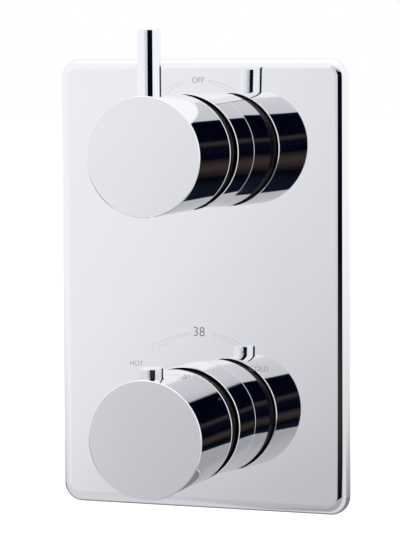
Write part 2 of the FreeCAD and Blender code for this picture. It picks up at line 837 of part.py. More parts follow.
def make_fixed_disc():
    """Ceramic disc with the inlet in the middle and one outlet each side."""
    disc = bar(disc_r, fixed_disc_front, disc_seal_front)
    return disc.cut(disc_ports(fixed_disc_front, disc_seal_front))


def make_disc_seal():
    """Rubber seal under the fixed disc."""
    seal = bar(disc_r, disc_seal_front, disc_floor)
    return seal.cut(disc_ports(disc_seal_front, disc_floor))


def make_diverter_housing():
    """Housing with a passage from the discs to each annulus and a rear inlet."""
    blank = make_cartridge_blank()
    cuts = [bar(barrel_bore_r, gland_rear, disc_floor), bar(DISC_PORT_R, disc_floor, BARREL_END)]
    for side in (-1, 1):
        window_y = PORT_Y + side * PORT_SHIFT
        cuts.append(bar(DISC_PORT_R, disc_floor, window_y, side * DISC_PORT_AT))
        near, far = sorted((side * (DISC_PORT_AT - DISC_PORT_R), side * (barrel_r + 1)))
        cuts.append(block(near, far, window_y - 3, window_y + 3, -6, 6))
    return blank.cut(cuts)


# ---------------------------------------------------------------- handles

grub_y = handle_rear - GRUB_SETBACK


def make_knob():
    """Handle head with its neck: solid in front, hollow behind, with a fine notch near its rear rim."""
    band_front = handle_rear - END_BAND
    knob = lathe([
        (handle_front, 0),
        (handle_front, handle_r - HANDLE_CHAMFER),
        (handle_front + HANDLE_CHAMFER, handle_r),
        (band_front - END_NOTCH, handle_r),
        (band_front, handle_r - END_NOTCH),
        (band_front + END_NOTCH, handle_r),
        (handle_rear - RIM_CHAMFER, handle_r),
        (handle_rear, handle_r - RIM_CHAMFER),
        (handle_rear, neck_r),
        (neck_rear, neck_r),
        (neck_rear, knob_bore_r),
        (head_rear, knob_bore_r),
        (head_rear, 0),
    ])
    screw_room = bar(SCREW_HEAD_R + 1.5, head_rear - SCREW_HEAD_T, head_rear)
    grub_hole = spoke(GRUB_D / 2 + 0.05, -handle_r - 1, -knob_bore_r + 1, grub_y)
    return knob.cut([screw_room, grub_hole])


def make_flow_knob():
    """Handle with a counterbored hole for the lever."""
    lever_y = handle_front + LEVER_SETBACK
    seat = handle_r - LEVER_SUNK
    counterbore = spoke(LEVER_D / 2 + 0.06, seat, handle_r + 1, lever_y)
    stud_hole = spoke(STUD_D / 2 + FIT_GAP, seat - STUD_LEN - 1, seat, lever_y)
    return make_knob().cut([counterbore, stud_hole])


def make_flow_lever():
    """Straight round rod with a chamfered end and a stud that screws into the head."""
    lever_y = handle_front + LEVER_SETBACK
    seat = handle_r - LEVER_SUNK
    top = handle_r + LEVER_PROUD
    rod = spoke(LEVER_D / 2, seat, top, lever_y)
    rim = [edge for edge in rod.Edges if edge.BoundBox.ZMin > top - 0.01]
    rod = rod.makeChamfer(LEVER_CHAMFER, rim)
    return joined([rod, spoke(STUD_D / 2, seat - STUD_LEN, seat, lever_y)])


def make_temperature_knob():
    """Handle with a radial bore for the button and a slot for its catch."""
    bore = spoke(BUTTON_D / 2 + SLIDE_GAP, button_floor, handle_r + 1, button_y)
    half = CATCH_W / 2 + SLIDE_GAP
    low = catch_low - BUTTON_TRAVEL - SLIDE_GAP
    slot = block(-half, half, button_y, head_rear, low, catch_high + SLIDE_GAP)
    return make_knob().cut([bore, slot])


def make_adapter():
    """Splined adapter: hub on the spindle and a flange that the grub screw grips."""
    flange_front = adapter_rear - ADAPTER_FLANGE_T
    blank = lathe([
        (adapter_front, 0),
        (adapter_front, ADAPTER_HUB_R),
        (flange_front, ADAPTER_HUB_R),
        (flange_front, knob_bore_r - FIT_GAP),
        (adapter_rear, knob_bore_r - FIT_GAP),
        (adapter_rear, 0),
    ])
    gap = FIT_GAP
    spline_end = spindle_front + SPLINE_LEN
    socket = splined_bar(SHAFT_R + gap, SHAFT_R - SPLINE_DEPTH + gap, spindle_front, spline_end)
    relief = bar(SHAFT_R + gap, spline_end, adapter_rear)
    screw_hole = bar(SCREW_SHANK_R + gap, adapter_front, spindle_front)
    return blank.cut([socket, relief, screw_hole])


def make_temperature_adapter():
    """Adapter with a notch that the button's catch passes through."""
    half = CATCH_W / 2 + 2 * SLIDE_GAP
    low = catch_low - BUTTON_TRAVEL - 2 * SLIDE_GAP
    notch = block(-half, half, adapter_front, adapter_rear, low, knob_bore_r)
    return make_adapter().cut(notch)


def make_adapter_screw():
    """Screw that clamps an adapter on its spindle."""
    head = lathe([
        (adapter_front - SCREW_HEAD_T, 0),
        (adapter_front - SCREW_HEAD_T, SCREW_HEAD_R - 1),
        (adapter_front - SCREW_HEAD_T + 1, SCREW_HEAD_R),
        (adapter_front, SCREW_HEAD_R),
        (adapter_front, 0),
    ])
    shank = bar(SCREW_SHANK_R, adapter_front, spindle_front + SCREW_LEN - 1)
    cross = [block(-0.5, 0.5, adapter_front - SCREW_HEAD_T, adapter_front - 1, -2, 2),
             block(-2, 2, adapter_front - SCREW_HEAD_T, adapter_front - 1, -0.5, 0.5)]
    return joined([head, shank]).cut(cross)


def make_grub_screw():
    """Socket set screw on the underside, from just below the surface to the adapter."""
    outer = handle_r - 0.8
    inner = knob_bore_r - FIT_GAP
    screw = spoke(GRUB_D / 2, -outer, -inner, grub_y)
    socket = hexagon(GRUB_HEX, 0, 2.2)
    socket.rotate(Vector(0, 0, 0), Vector(1, 0, 0), 90)
    socket.translate(Vector(0, grub_y, -outer))
    return screw.cut(socket)


def make_stop_button():
    """Push-button with a domed rim, a spring pocket and a hole for the catch's pin."""
    top = handle_r + BUTTON_PROUD
    button = spoke(BUTTON_D / 2, button_foot, top, button_y)
    rim = [edge for edge in button.Edges if edge.BoundBox.ZMin > top - 0.01]
    button = button.makeFillet(BUTTON_EDGE_R, rim)
    pocket = spoke(BUTTON_POCKET_D / 2, button_foot, button_foot + BUTTON_POCKET_DEPTH, button_y)
    pin_hole = bar(CATCH_PIN_D / 2 + 0.05, button_y, button_y + BUTTON_D, 0, catch_mid)
    return button.cut([pocket, pin_hole])


def make_stop_catch():
    """Leg that reaches back from the button to the stop ring."""
    start = button_y + BUTTON_D / 2 + FIT_GAP
    end = stop_ring_front - CLIP_T - 0.5
    half = CATCH_W / 2
    leg = block(-half, half, start, end, catch_low, catch_high)
    pin = bar(CATCH_PIN_D / 2, button_y + BUTTON_POCKET_D / 2 + 0.3, start, 0, catch_mid)
    return joined([leg, pin])


def make_button_spring():
    """Spring under the button."""
    spring = coil(2.2, 0.3, button_floor, button_foot + BUTTON_POCKET_DEPTH, 5)
    spring.rotate(Vector(0, 0, 0), Vector(1, 0, 0), 90)
    spring.translate(Vector(0, button_y, 0))
    return spring


# ---------------------------------------------------------------- the whole valve

save(make_face_plate(), "face_plate")
save(make_wall_gasket(), "wall_gasket")
save(make_valve_body(), "valve_body")

for name, z in (("flow", axis_z), ("temperature", -axis_z)):
    save(lifted(make_sleeve(), z), name + "_sleeve")
    save(lifted(make_sleeve_seal(), z), name + "_sleeve_seal")
    save(lifted(make_adapter_screw(), z), name + "_adapter_screw")
    save(lifted(make_grub_screw(), z), name + "_grub_screw")

ports = (
    ("hot_inlet_union", -1, -axis_z),
    ("cold_inlet_union", 1, -axis_z),
    ("left_outlet_union", -1, axis_z),
    ("right_outlet_union", 1, axis_z),
)
for node, side, z in ports:
    save(sideways(make_union(), side, z), node)
save(Part.makeCompound([sideways(make_washer(), side, z) for node, side, z in ports]), "union_washers")

for name, side in (("hot", -1), ("cold", 1)):
    save(sideways(make_strainer(), side, -axis_z), name + "_strainer")
    save(sideways(make_check_housing(), side, -axis_z), name + "_check_housing")
    save(sideways(make_poppet(), side, -axis_z), name + "_check_poppet")
    save(sideways(make_check_spring(), side, -axis_z), name + "_check_spring")

save(lifted(make_thermostat_housing(), -axis_z), "thermostat_housing")
save(lifted(make_thermostat_seat(), -axis_z), "thermostat_seat")
save(lifted(make_gland_nut(STOP_NOSE_LEN), -axis_z), "thermostat_gland_nut")
save(lifted(make_o_rings(), -axis_z), "thermostat_o_rings")
save(lifted(make_temperature_spindle(), -axis_z), "temperature_spindle")
save(lifted(make_shaft_seals(STOP_NOSE_LEN), -axis_z), "temperature_spindle_seals")
save(lifted(make_regulating_nut(), -axis_z), "regulating_nut")
save(lifted(make_overload_spring(), -axis_z), "overload_spring")
save(lifted(make_overload_cup(), -axis_z), "overload_cup")
save(lifted(make_wax_element(), -axis_z), "wax_element")
save(lifted(make_shuttle(), -axis_z), "shuttle")
save(lifted(make_shuttle_seal(), -axis_z), "shuttle_seal")
save(lifted(make_return_spring(), -axis_z), "return_spring")
save(lifted(make_stop_ring(), -axis_z), "stop_ring")
save(lifted(make_stop_ring_clip(), -axis_z), "stop_ring_clip")

save(lifted(make_diverter_housing(), axis_z), "diverter_housing")
save(lifted(make_gland_nut(FLOW_NOSE_LEN), axis_z), "diverter_gland_nut")
save(lifted(make_o_rings(), axis_z), "diverter_o_rings")
save(lifted(make_flow_spindle(), axis_z), "flow_spindle")
save(lifted(make_shaft_seals(FLOW_NOSE_LEN), axis_z), "flow_spindle_seals")
save(lifted(make_moving_disc(), axis_z), "moving_disc")
save(lifted(make_fixed_disc(), axis_z), "fixed_disc")
save(lifted(make_disc_seal(), axis_z), "disc_seal")

save(lifted(make_flow_knob(), axis_z), "flow_knob")
save(lifted(make_flow_lever(), axis_z), "flow_lever")
save(lifted(make_adapter(), axis_z), "flow_adapter")
save(lifted(make_temperature_knob(), -axis_z), "temperature_knob")
save(lifted(make_temperature_adapter(), -axis_z), "temperature_adapter")
save(lifted(make_stop_button(), -axis_z), "stop_button")
save(lifted(make_stop_catch(), -axis_z), "stop_catch")
save(lifted(make_button_spring(), -axis_z), "stop_button_spring")
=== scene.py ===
"""A chromed shower valve for a wall.

A face plate carries a flow handle above and a temperature handle below. The brass valve
stands behind the plate. Metres: X is to the right, Y goes into the wall and Z is up.
"""

import math

import bmesh
import bpy
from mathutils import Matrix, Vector


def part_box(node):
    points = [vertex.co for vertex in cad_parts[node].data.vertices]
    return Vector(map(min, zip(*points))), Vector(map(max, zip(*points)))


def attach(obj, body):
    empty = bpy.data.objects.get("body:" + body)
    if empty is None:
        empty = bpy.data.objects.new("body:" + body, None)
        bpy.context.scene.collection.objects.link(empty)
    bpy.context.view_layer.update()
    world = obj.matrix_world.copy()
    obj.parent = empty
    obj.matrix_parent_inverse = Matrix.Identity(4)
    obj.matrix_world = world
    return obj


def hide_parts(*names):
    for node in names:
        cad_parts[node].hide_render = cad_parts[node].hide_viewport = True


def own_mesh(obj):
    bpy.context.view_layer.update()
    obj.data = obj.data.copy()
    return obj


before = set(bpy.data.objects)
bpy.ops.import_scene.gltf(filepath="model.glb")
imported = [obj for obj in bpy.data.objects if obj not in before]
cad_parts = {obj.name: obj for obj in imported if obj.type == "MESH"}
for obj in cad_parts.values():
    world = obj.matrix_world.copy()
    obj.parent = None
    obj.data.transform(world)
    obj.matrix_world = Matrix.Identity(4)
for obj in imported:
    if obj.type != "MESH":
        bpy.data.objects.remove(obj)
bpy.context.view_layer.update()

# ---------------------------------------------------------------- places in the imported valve

PLATE_LOW, PLATE_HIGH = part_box("face_plate")
PLATE_FRONT = PLATE_LOW.y
KNOB_LOW, KNOB_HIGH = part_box("flow_knob")
FLOW_AXIS = (KNOB_LOW.z + KNOB_HIGH.z) / 2
TEMPERATURE_AXIS = -FLOW_AXIS
HANDLE_RADIUS = (KNOB_HIGH.x - KNOB_LOW.x) / 2
HANDLE_FRONT = KNOB_LOW.y
NECK_END = KNOB_HIGH.y
SLEEVE_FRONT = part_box("flow_sleeve")[0].y
SLEEVE_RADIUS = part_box("flow_sleeve")[1].x
PORT_DEPTH = (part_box("hot_inlet_union")[0].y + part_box("hot_inlet_union")[1].y) / 2
UNION_OVERLAP = 0.010
ARM_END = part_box("cold_inlet_union")[0].x + UNION_OVERLAP

# ---------------------------------------------------------------- sizes

GROOVE_WIDTH = 0.0098
HANDLE_REAR = SLEEVE_FRONT - GROOVE_WIDTH
NECK_RADIUS = HANDLE_RADIUS - 0.0013
KNOB_BORE = NECK_RADIUS - 0.0027
HEAD_END = HANDLE_FRONT + 0.0165
SCREW_ROOM = 0.0051
SCREW_DEPTH = 0.0024

# Upright bores in the heads. Their ends are measured up from a handle's axis.
ABOVE_HEAD = 0.0265
LEVER_Y = HANDLE_FRONT + 0.0084
LEVER_BORE, LEVER_SEAT = 0.00516, 0.02
STUD_BORE, STUD_END = 0.0031, 0.01
BUTTON_Y = HANDLE_FRONT + 0.0088
BUTTON_BORE, BUTTON_SEAT = 0.0052, 0.0092
CATCH_SLOT_HALF_WIDTH, CATCH_SLOT_LOW, CATCH_SLOT_HIGH = 0.0028, 0.0107, 0.0173
GRUB_SCREW_BORE = 0.00255
GRUB_SCREW_Y = HANDLE_REAR - 0.0048
LEVER_HOLES = [
    (LEVER_BORE, LEVER_Y, LEVER_SEAT, ABOVE_HEAD),
    (STUD_BORE, LEVER_Y, STUD_END, LEVER_SEAT),
]
BUTTON_HOLES = [(BUTTON_BORE, BUTTON_Y, BUTTON_SEAT, ABOVE_HEAD)]
BUTTON_SLOTS = [
    (
        (-CATCH_SLOT_HALF_WIDTH, BUTTON_Y, CATCH_SLOT_LOW),
        (CATCH_SLOT_HALF_WIDTH, HEAD_END, CATCH_SLOT_HIGH),
    )
]

PLATE_SHEET = 0.002
PLATE_CORNER = 0.0085
PLATE_ROUNDING = 0.0046
SLEEVE_SEAT = 0.0046
ROUNDING_STEPS = 12
CORNER_STEPS = 14
HOLE_SIDES = 96
TURNED_SIDES = 192
DRILL_SIDES = 64
SHARP_ANGLE = math.radians(28)

# Marks lie this far in front of the plate and reach this far into it.
MARK_PROUD = 0.00003
MARK_SUNK = 0.0003

FLOOR_HEIGHT = -0.20
FLOOR_RADIUS = 9.0
TABLE_EDGE = -0.64


# ---------------------------------------------------------------- node helpers


def node(tree, kind, **settings):
    """One node of a kind, with its settings."""
    made = tree.nodes.new(kind)
    for name, value in settings.items():
        setattr(made, name, value)
    return made


def link(tree, start, end):
    """Join an output to an input."""
    tree.links.new(start, end)


def feed(tree, socket, value):
    """Give a socket a number, a tuple or another socket's output."""
    if isinstance(value, (int, float, tuple)):
        socket.default_value = value
    else:
        link(tree, value, socket)


def maths(tree, operation, a, b=None, c=None, clamp=False):
    """A Math node's output, its inputs sockets or numbers."""
    made = node(tree, "ShaderNodeMath", operation=operation, use_clamp=clamp)
    for socket, value in zip(made.inputs, (a, b, c)):
        if value is not None:
            feed(tree, socket, value)
    return made.outputs[0]


def vectors(tree, operation, a, b=None):
    """A Vector Math node. DOT_PRODUCT and LENGTH give a value, the others a vector."""
    made = node(tree, "ShaderNodeVectorMath", operation=operation)
    feed(tree, made.inputs[0], a)
    if b is not None:
        feed(tree, made.inputs["Scale" if operation == "SCALE" else 1], b)
    return made.outputs["Value" if operation in ("DOT_PRODUCT", "LENGTH") else "Vector"]


def parts_of(tree, vector):
    """The X, Y and Z of a vector."""
    made = node(tree, "ShaderNodeSeparateXYZ")
    link(tree, vector, made.inputs[0])
    return made.outputs["X"], made.outputs["Y"], made.outputs["Z"]


def own_place(tree):
    """Where a point of the surface is, in the valve's own metres."""
    return node(tree, "ShaderNodeTexCoord").outputs["Object"]


def blend_colours(tree, factor, a, b):
    """The colour a where the factor is 0 and b where it is 1."""
    made = node(tree, "ShaderNodeMix", data_type="RGBA")
    feed(tree, made.inputs["Factor"], factor)
    feed(tree, made.inputs[6], a if not isinstance(a, tuple) else (*a, 1))
    feed(tree, made.inputs[7], b if not isinstance(b, tuple) else (*b, 1))
    return made.outputs[2]


def step_between(tree, value, low, high):
    """Rises smoothly from 0 to 1 as a value goes from low to high."""
    made = node(tree, "ShaderNodeMapRange", interpolation_type="SMOOTHSTEP")
    feed(tree, made.inputs["Value"], value)
    feed(tree, made.inputs["From Min"], low)
    feed(tree, made.inputs["From Max"], high)
    return made.outputs[0]


def ramp(tree, factor, stops):
    """A colour ramp's output. Each stop is (place, (r, g, b))."""
    made = node(tree, "ShaderNodeValToRGB")
    elements = made.color_ramp.elements
    elements[0].position, elements[1].position = stops[0][0], stops[-1][0]
    elements[0].color = (*stops[0][1], 1)
    elements[1].color = (*stops[-1][1], 1)
    for place, colour in stops[1:-1]:
        elements.new(place).color = (*colour, 1)
    link(tree, factor, made.inputs[0])
    return made.outputs[0]


def greys(stops):
    """Grey stops for a ramp from pairs of place and level."""
    return [(place, (level, level, level)) for place, level in stops]


def noise(tree, scale, detail=2.0, roughness=0.5, stretch=(1, 1, 1)):
    """Noise through the solid, in the valve's own metres."""
    size = node(tree, "ShaderNodeMapping")
    size.inputs["Scale"].default_value = stretch
    made = node(tree, "ShaderNodeTexNoise")
    feed(tree, made.inputs["Scale"], scale)
    made.inputs["Detail"].default_value = detail
    made.inputs["Roughness"].default_value = roughness
    link(tree, own_place(tree), size.inputs[0])
    link(tree, size.outputs[0], made.inputs["Vector"])
    return made.outputs["Fac"]


def noise_along(tree, way, scale, detail=2.0):
    """Noise that changes along one value only."""
    made = node(tree, "ShaderNodeTexNoise", noise_dimensions="1D")
    link(tree, way, made.inputs["W"])
    feed(tree, made.inputs["Scale"], scale)
    made.inputs["Detail"].default_value = detail
    return made.outputs["Fac"]


def effect(name, inputs, outputs):
    """An empty shader group with named inputs and outputs. Each input is (name, kind, value)."""
    group = bpy.data.node_groups.new(name, "ShaderNodeTree")
    for label, kind, value in inputs:
        socket = group.interface.new_socket(label, in_out="INPUT", socket_type="NodeSocket" + kind)
        socket.default_value = value
    for label, kind in outputs:
        group.interface.new_socket(label, in_out="OUTPUT", socket_type="NodeSocket" + kind)
    return group, node(group, "NodeGroupInput"), node(group, "NodeGroupOutput")


# ---------------------------------------------------------------- effects that finishes share


def make_polish_haze():
    """Faint smears in a polished surface, as a roughness that changes from place to place."""
    group, given, out = effect(
        "polish_haze",
        [("Polished", "Float", 0.03), ("Smeared", "Float", 0.09)],
        [("Roughness", "Float"), ("Smear", "Float")],
    )
    smears = noise(group, scale=38.0, detail=5.0, roughness=0.6, stretch=(1, 1, 0.55))
    smears = maths(group, "SUBTRACT", smears, 0.5)
    smears = maths(group, "MULTIPLY", smears, 3.2, clamp=True)
    spread = maths(group, "SUBTRACT", given.outputs["Smeared"], given.outputs["Polished"])
    rough = maths(group, "MULTIPLY_ADD", smears, spread, given.outputs["Polished"])
    link(group, rough, out.inputs["Roughness"])
    link(group, smears, out.inputs["Smear"])
    return group


def make_soft_waves():
    """The slight unevenness of pressed sheet or a polished bar, as a height."""
    group, given, out = effect("soft_waves", [("Wave Size", "Float", 18.0)], [("Height", "Float")])
    link(group, noise(group, given.outputs["Wave Size"], detail=0.0), out.inputs["Height"])
    return group


def make_turning_marks():
    """Fine rings that a lathe leaves about a line, mirrored left to right and top to bottom."""
    group, given, out = effect(
        "turning_marks",
        [
            ("Along", "Vector", (0, 1, 0)),
            ("Centre", "Vector", (0, 0, 0)),
            ("Rings per Metre", "Float", 2500.0),
        ],
        [("Height", "Float"), ("Rub", "Float")],
    )
    folded = vectors(group, "ABSOLUTE", own_place(group))
    reach = vectors(group, "SUBTRACT", folded, given.outputs["Centre"])
    along = vectors(group, "DOT_PRODUCT", reach, given.outputs["Along"])
    straight = vectors(group, "SCALE", given.outputs["Along"], along)
    radius = vectors(group, "LENGTH", vectors(group, "SUBTRACT", reach, straight))
    both = maths(group, "MULTIPLY_ADD", radius, 1.37, along)
    rings = noise_along(group, both, given.outputs["Rings per Metre"], detail=3.0)
    link(group, rings, out.inputs["Height"])
    link(group, noise_along(group, both, 420.0), out.inputs["Rub"])
    return group


def make_sand_cast():
    """The pitted, grainy skin that a sand mould leaves, with its pits and its stains."""
    group, given, out = effect(
        "sand_cast",
        [("Grain Size", "Float", 900.0)],
        [("Height", "Float"), ("Pits", "Float"), ("Stain", "Float")],
    )
    grain = noise(group, given.outputs["Grain Size"], detail=4.0, roughness=0.65)
    lumps = noise(group, scale=210.0)
    pits = step_between(group, noise(group, scale=620.0, detail=1.0), 0.60, 0.72)
    height = maths(group, "MULTIPLY_ADD", lumps, 1.6, grain)
    height = maths(group, "MULTIPLY_ADD", pits, -0.7, height)
    stain = step_between(group, noise(group, scale=34.0, detail=6.0, roughness=0.62), 0.40, 0.66)
    link(group, height, out.inputs["Height"])
    link(group, pits, out.inputs["Pits"])
    link(group, stain, out.inputs["Stain"])
    return group


def make_moulded_skin():
    """The faint spark-eroded texture and the flow marks of a moulded part."""
    group, given, out = effect(
        "moulded_skin",
        [("Grain Size", "Float", 1800.0)],
        [("Height", "Float"), ("Flow", "Float")],
    )
    grain = noise(group, given.outputs["Grain Size"], detail=3.0, roughness=0.6)
    flow = noise(group, scale=90.0, detail=3.0, stretch=(1, 0.35, 1))
    link(group, grain, out.inputs["Height"])
    link(group, flow, out.inputs["Flow"])
    return group


POLISH_HAZE = make_polish_haze()
SOFT_WAVES = make_soft_waves()
TURNING_MARKS = make_turning_marks()
SAND_CAST = make_sand_cast()
MOULDED_SKIN = make_moulded_skin()


# ---------------------------------------------------------------- finishes

ALONG_DEPTH = (0, 1, 0)
ALONG_WIDTH = (1, 0, 0)
CARTRIDGE_LINE = (0, 0, FLOW_AXIS)
PORT_LINE = (0, PORT_DEPTH, FLOW_AXIS)

BRASS = (0.80, 0.60, 0.30)
STEEL = (0.58, 0.58, 0.58)
CHROME_CLEAN = (0.905, 0.91, 0.93)
CHROME_SMEARED = (0.89, 0.895, 0.915)
# Painted shade: the near black that stands for the shade in the groove behind a handle's head.
GROOVE_PAINTED_SHADE = (0.012, 0.012, 0.014)

CHROME_POLISH = 0.02
PLATE_SMEAR = 0.045
HANDLE_SMEAR = 0.05
PLATE_WAVE_SIZE, PLATE_WAVE_DEPTH = 16.0, 0.00005
HANDLE_WAVE_SIZE, HANDLE_WAVE_DEPTH = 40.0, 0.00001

# How the plate's front leans: to the right, more so per metre up, upwards, more so per metre up.
PLATE_BOW = (-0.0034, -0.209, 0.0304, -0.2167)

# Two finishes run into each other over twice this width.
FINISH_EDGE = 0.00004

# Depths at which cast brass gives way to machined faces, and how far behind the head the grey
# painted shade on the neck ends.
COLLAR_REAR = (0.0074, 0.0070)
FLANGE_FACE = (0.0657, 0.0659)
ARM_FACE = (ARM_END - 0.0012, ARM_END - 0.0008)
NECK_HALF_SHADE_END = (HANDLE_REAR + 0.0032, HANDLE_REAR + 0.0012)


def finish(name, metallic=0.0):
    """A new material with a Principled shader. Returns the material, its tree and the shader."""
    material = bpy.data.materials.new(name)
    material.use_nodes = True
    shader = material.node_tree.nodes["Principled BSDF"]
    shader.inputs["Metallic"].default_value = metallic
    return material, material.node_tree, shader


def use(tree, group, **values):
    """A shared effect placed in a material, with its own values."""
    made = node(tree, "ShaderNodeGroup", node_tree=group)
    for name, value in values.items():
        feed(tree, made.inputs[name.replace("_", " ")], value)
    return made


def bump(tree, shader, height, distance):
    """A height that bends the shader's normal."""
    made = node(tree, "ShaderNodeBump")
    made.inputs["Distance"].default_value = distance
    link(tree, height, made.inputs["Height"])
    link(tree, made.outputs["Normal"], shader.inputs["Normal"])


def shade(colour, factor):
    """A colour made darker or lighter."""
    return tuple(min(1.0, channel * factor) for channel in colour)


def paint(tree, shader, colour, roughness):
    """Give a shader its colour and roughness."""
    link(tree, colour, shader.inputs["Base Color"])
    link(tree, roughness, shader.inputs["Roughness"])


def plating(tree, smeared):
    """The colour and roughness of bright chromium plate with faint smears."""
    haze = use(tree, POLISH_HAZE, Polished=CHROME_POLISH, Smeared=smeared)
    tone = ramp(tree, haze.outputs["Smear"], [(0.0, CHROME_CLEAN), (1.0, CHROME_SMEARED)])
    return tone, haze.outputs["Roughness"]


def handle_waves(tree, shader):
    """The slight unevenness that polishing leaves on a handle."""
    waves = use(tree, SOFT_WAVES, Wave_Size=HANDLE_WAVE_SIZE)
    bump(tree, shader, waves.outputs["Height"], HANDLE_WAVE_DEPTH)


def polished_chrome(name):
    """Bright chromium plate over polished brass."""
    material, tree, shader = finish(name, 1.0)
    paint(tree, shader, *plating(tree, HANDLE_SMEAR))
    handle_waves(tree, shader)
    return material


def pressed_chrome(name):
    """Chrome on the pressed face plate, bowed a little where its sleeves pull it to the wall."""
    material, tree, shader = finish(name, 1.0)
    paint(tree, shader, *plating(tree, PLATE_SMEAR))
    x, _, z = parts_of(tree, own_place(tree))
    lean_x, twist, lean_z, curl = PLATE_BOW
    across = maths(tree, "MULTIPLY", x, maths(tree, "MULTIPLY_ADD", z, -twist, -lean_x))
    upward = maths(tree, "MULTIPLY", z, maths(tree, "MULTIPLY_ADD", z, -curl / 2, -lean_z))
    waves = use(tree, SOFT_WAVES, Wave_Size=PLATE_WAVE_SIZE)
    ripple = maths(tree, "MULTIPLY", waves.outputs["Height"], PLATE_WAVE_DEPTH)
    bump(tree, shader, maths(tree, "ADD", maths(tree, "ADD", across, upward), ripple), 1.0)
    return material


def inside(tree, radius, limit):
    """1 where the radius is less than a limit, 0 where it is more."""
    return step_between(tree, radius, limit + FINISH_EDGE, limit - FINISH_EDGE)


def chrome_with_painted_groove_shade(name, painted_shade_inside, painted_half_shade_inside):
    """Chrome with painted shade behind the head: near black inside one radius, grey inside
    another.
    """
    material, tree, shader = finish(name, 1.0)
    tone, polish = plating(tree, HANDLE_SMEAR)
    place = own_place(tree)
    reach = vectors(tree, "SUBTRACT", vectors(tree, "ABSOLUTE", place), CARTRIDGE_LINE)
    radius = vectors(tree, "LENGTH", vectors(tree, "MULTIPLY", reach, (1.0, 0.0, 1.0)))
    depth = parts_of(tree, place)[1]
    behind = step_between(tree, depth, HANDLE_REAR - 0.0001, HANDLE_REAR)
    # Painted shade: near black in the groove between the head and the sleeve.
    dark = maths(tree, "MULTIPLY", behind, inside(tree, radius, painted_shade_inside))
    near_head = step_between(tree, depth, *NECK_HALF_SHADE_END)
    # A lighter grey painted shade on the neck close behind the head.
    neck_half_shade = maths(tree, "MULTIPLY", inside(tree, radius, painted_half_shade_inside), near_head)
    # The grey painted shade is mottled by this noise.
    rubbed = noise(tree, scale=160.0, detail=3.0)
    grey = ramp(tree, rubbed, [(0.3, (0.10, 0.10, 0.11)), (0.7, (0.17, 0.17, 0.18))])
    within = blend_colours(tree, neck_half_shade, GROOVE_PAINTED_SHADE, grey)
    gloss = maths(tree, "MULTIPLY_ADD", dark, 0.34, polish, clamp=True)
    paint(tree, shader, blend_colours(tree, dark, tone, within), gloss)
    handle_waves(tree, shader)
    return material


def turned_metal(name, colour, roughness, along, centre, rings=2500.0, depth=0.000006):
    """Metal straight from the lathe: rings about its axis, brighter where it was rubbed."""
    material, tree, shader = finish(name, 1.0)
    marks = use(tree, TURNING_MARKS, Along=along, Centre=centre, Rings_per_Metre=rings)
    rub = marks.outputs["Rub"]
    cloudy = noise(tree, scale=55.0, detail=4.0)
    tone = maths(tree, "MULTIPLY_ADD", cloudy, 0.55, maths(tree, "MULTIPLY", rub, 0.45))
    metal = ramp(tree, tone, [(0.34, shade(colour, 0.82)), (0.66, shade(colour, 1.12))])
    gloss = maths(tree, "MULTIPLY_ADD", rub, 0.24, roughness - 0.12, clamp=True)
    paint(tree, shader, metal, gloss)
    bump(tree, shader, marks.outputs["Height"], depth)
    return material


def cast_metal(name, skin, stained, machined):
    """Sand-cast brass, dull and grainy, with its turned collars and port ends left bright."""
    material, tree, shader = finish(name, 1.0)
    cast = use(tree, SAND_CAST, Grain_Size=900.0)
    x, y, _ = parts_of(tree, own_place(tree))
    collar = step_between(tree, y, *COLLAR_REAR)
    arm_end = step_between(tree, maths(tree, "ABSOLUTE", x), *ARM_FACE)
    flange = step_between(tree, y, *FLANGE_FACE)
    bright = maths(tree, "MAXIMUM", maths(tree, "MAXIMUM", collar, arm_end), flange)
    surface = blend_colours(tree, cast.outputs["Stain"], skin, stained)
    pits = maths(tree, "MULTIPLY", cast.outputs["Pits"], 0.8)
    surface = blend_colours(tree, pits, surface, shade(stained, 0.35))
    rough = maths(tree, "MULTIPLY_ADD", cast.outputs["Stain"], 0.16, 0.42)
    rough = maths(tree, "MULTIPLY_ADD", bright, -0.22, rough)
    paint(tree, shader, blend_colours(tree, bright, surface, machined), rough)
    marks = use(tree, TURNING_MARKS, Along=ALONG_DEPTH, Centre=CARTRIDGE_LINE)
    grain = maths(tree, "MULTIPLY", cast.outputs["Height"], maths(tree, "SUBTRACT", 1.0, bright))
    rings = maths(tree, "MULTIPLY", marks.outputs["Height"], maths(tree, "MULTIPLY", bright, 0.06))
    bump(tree, shader, maths(tree, "ADD", grain, rings), 0.00013)
    return material


def moulded(name, colour, roughness, grain=1800.0, depth=0.000012, variation=0.10):
    """Injection-moulded plastic or rubber."""
    material, tree, shader = finish(name)
    skin = use(tree, MOULDED_SKIN, Grain_Size=grain)
    flow = skin.outputs["Flow"]
    dark, light = shade(colour, 1 - variation), shade(colour, 1 + variation)
    gloss = maths(tree, "MULTIPLY_ADD", flow, 0.22, roughness - 0.11, clamp=True)
    paint(tree, shader, ramp(tree, flow, [(0.3, dark), (0.7, light)]), gloss)
    bump(tree, shader, skin.outputs["Height"], depth)
    return material


def sealing_foam(name, colour):
    """Closed-cell foam rubber with open pores where it was cut."""
    material, tree, shader = finish(name)
    cells = node(tree, "ShaderNodeTexVoronoi", feature="F1")
    link(tree, own_place(tree), cells.inputs["Vector"])
    cells.inputs["Scale"].default_value = 1500.0
    pores = step_between(tree, cells.outputs["Distance"], 0.05, 0.45)
    rough = maths(tree, "MULTIPLY_ADD", pores, 0.12, 0.78)
    paint(tree, shader, blend_colours(tree, pores, shade(colour, 0.45), colour), rough)
    bump(tree, shader, pores, 0.00015)
    return material


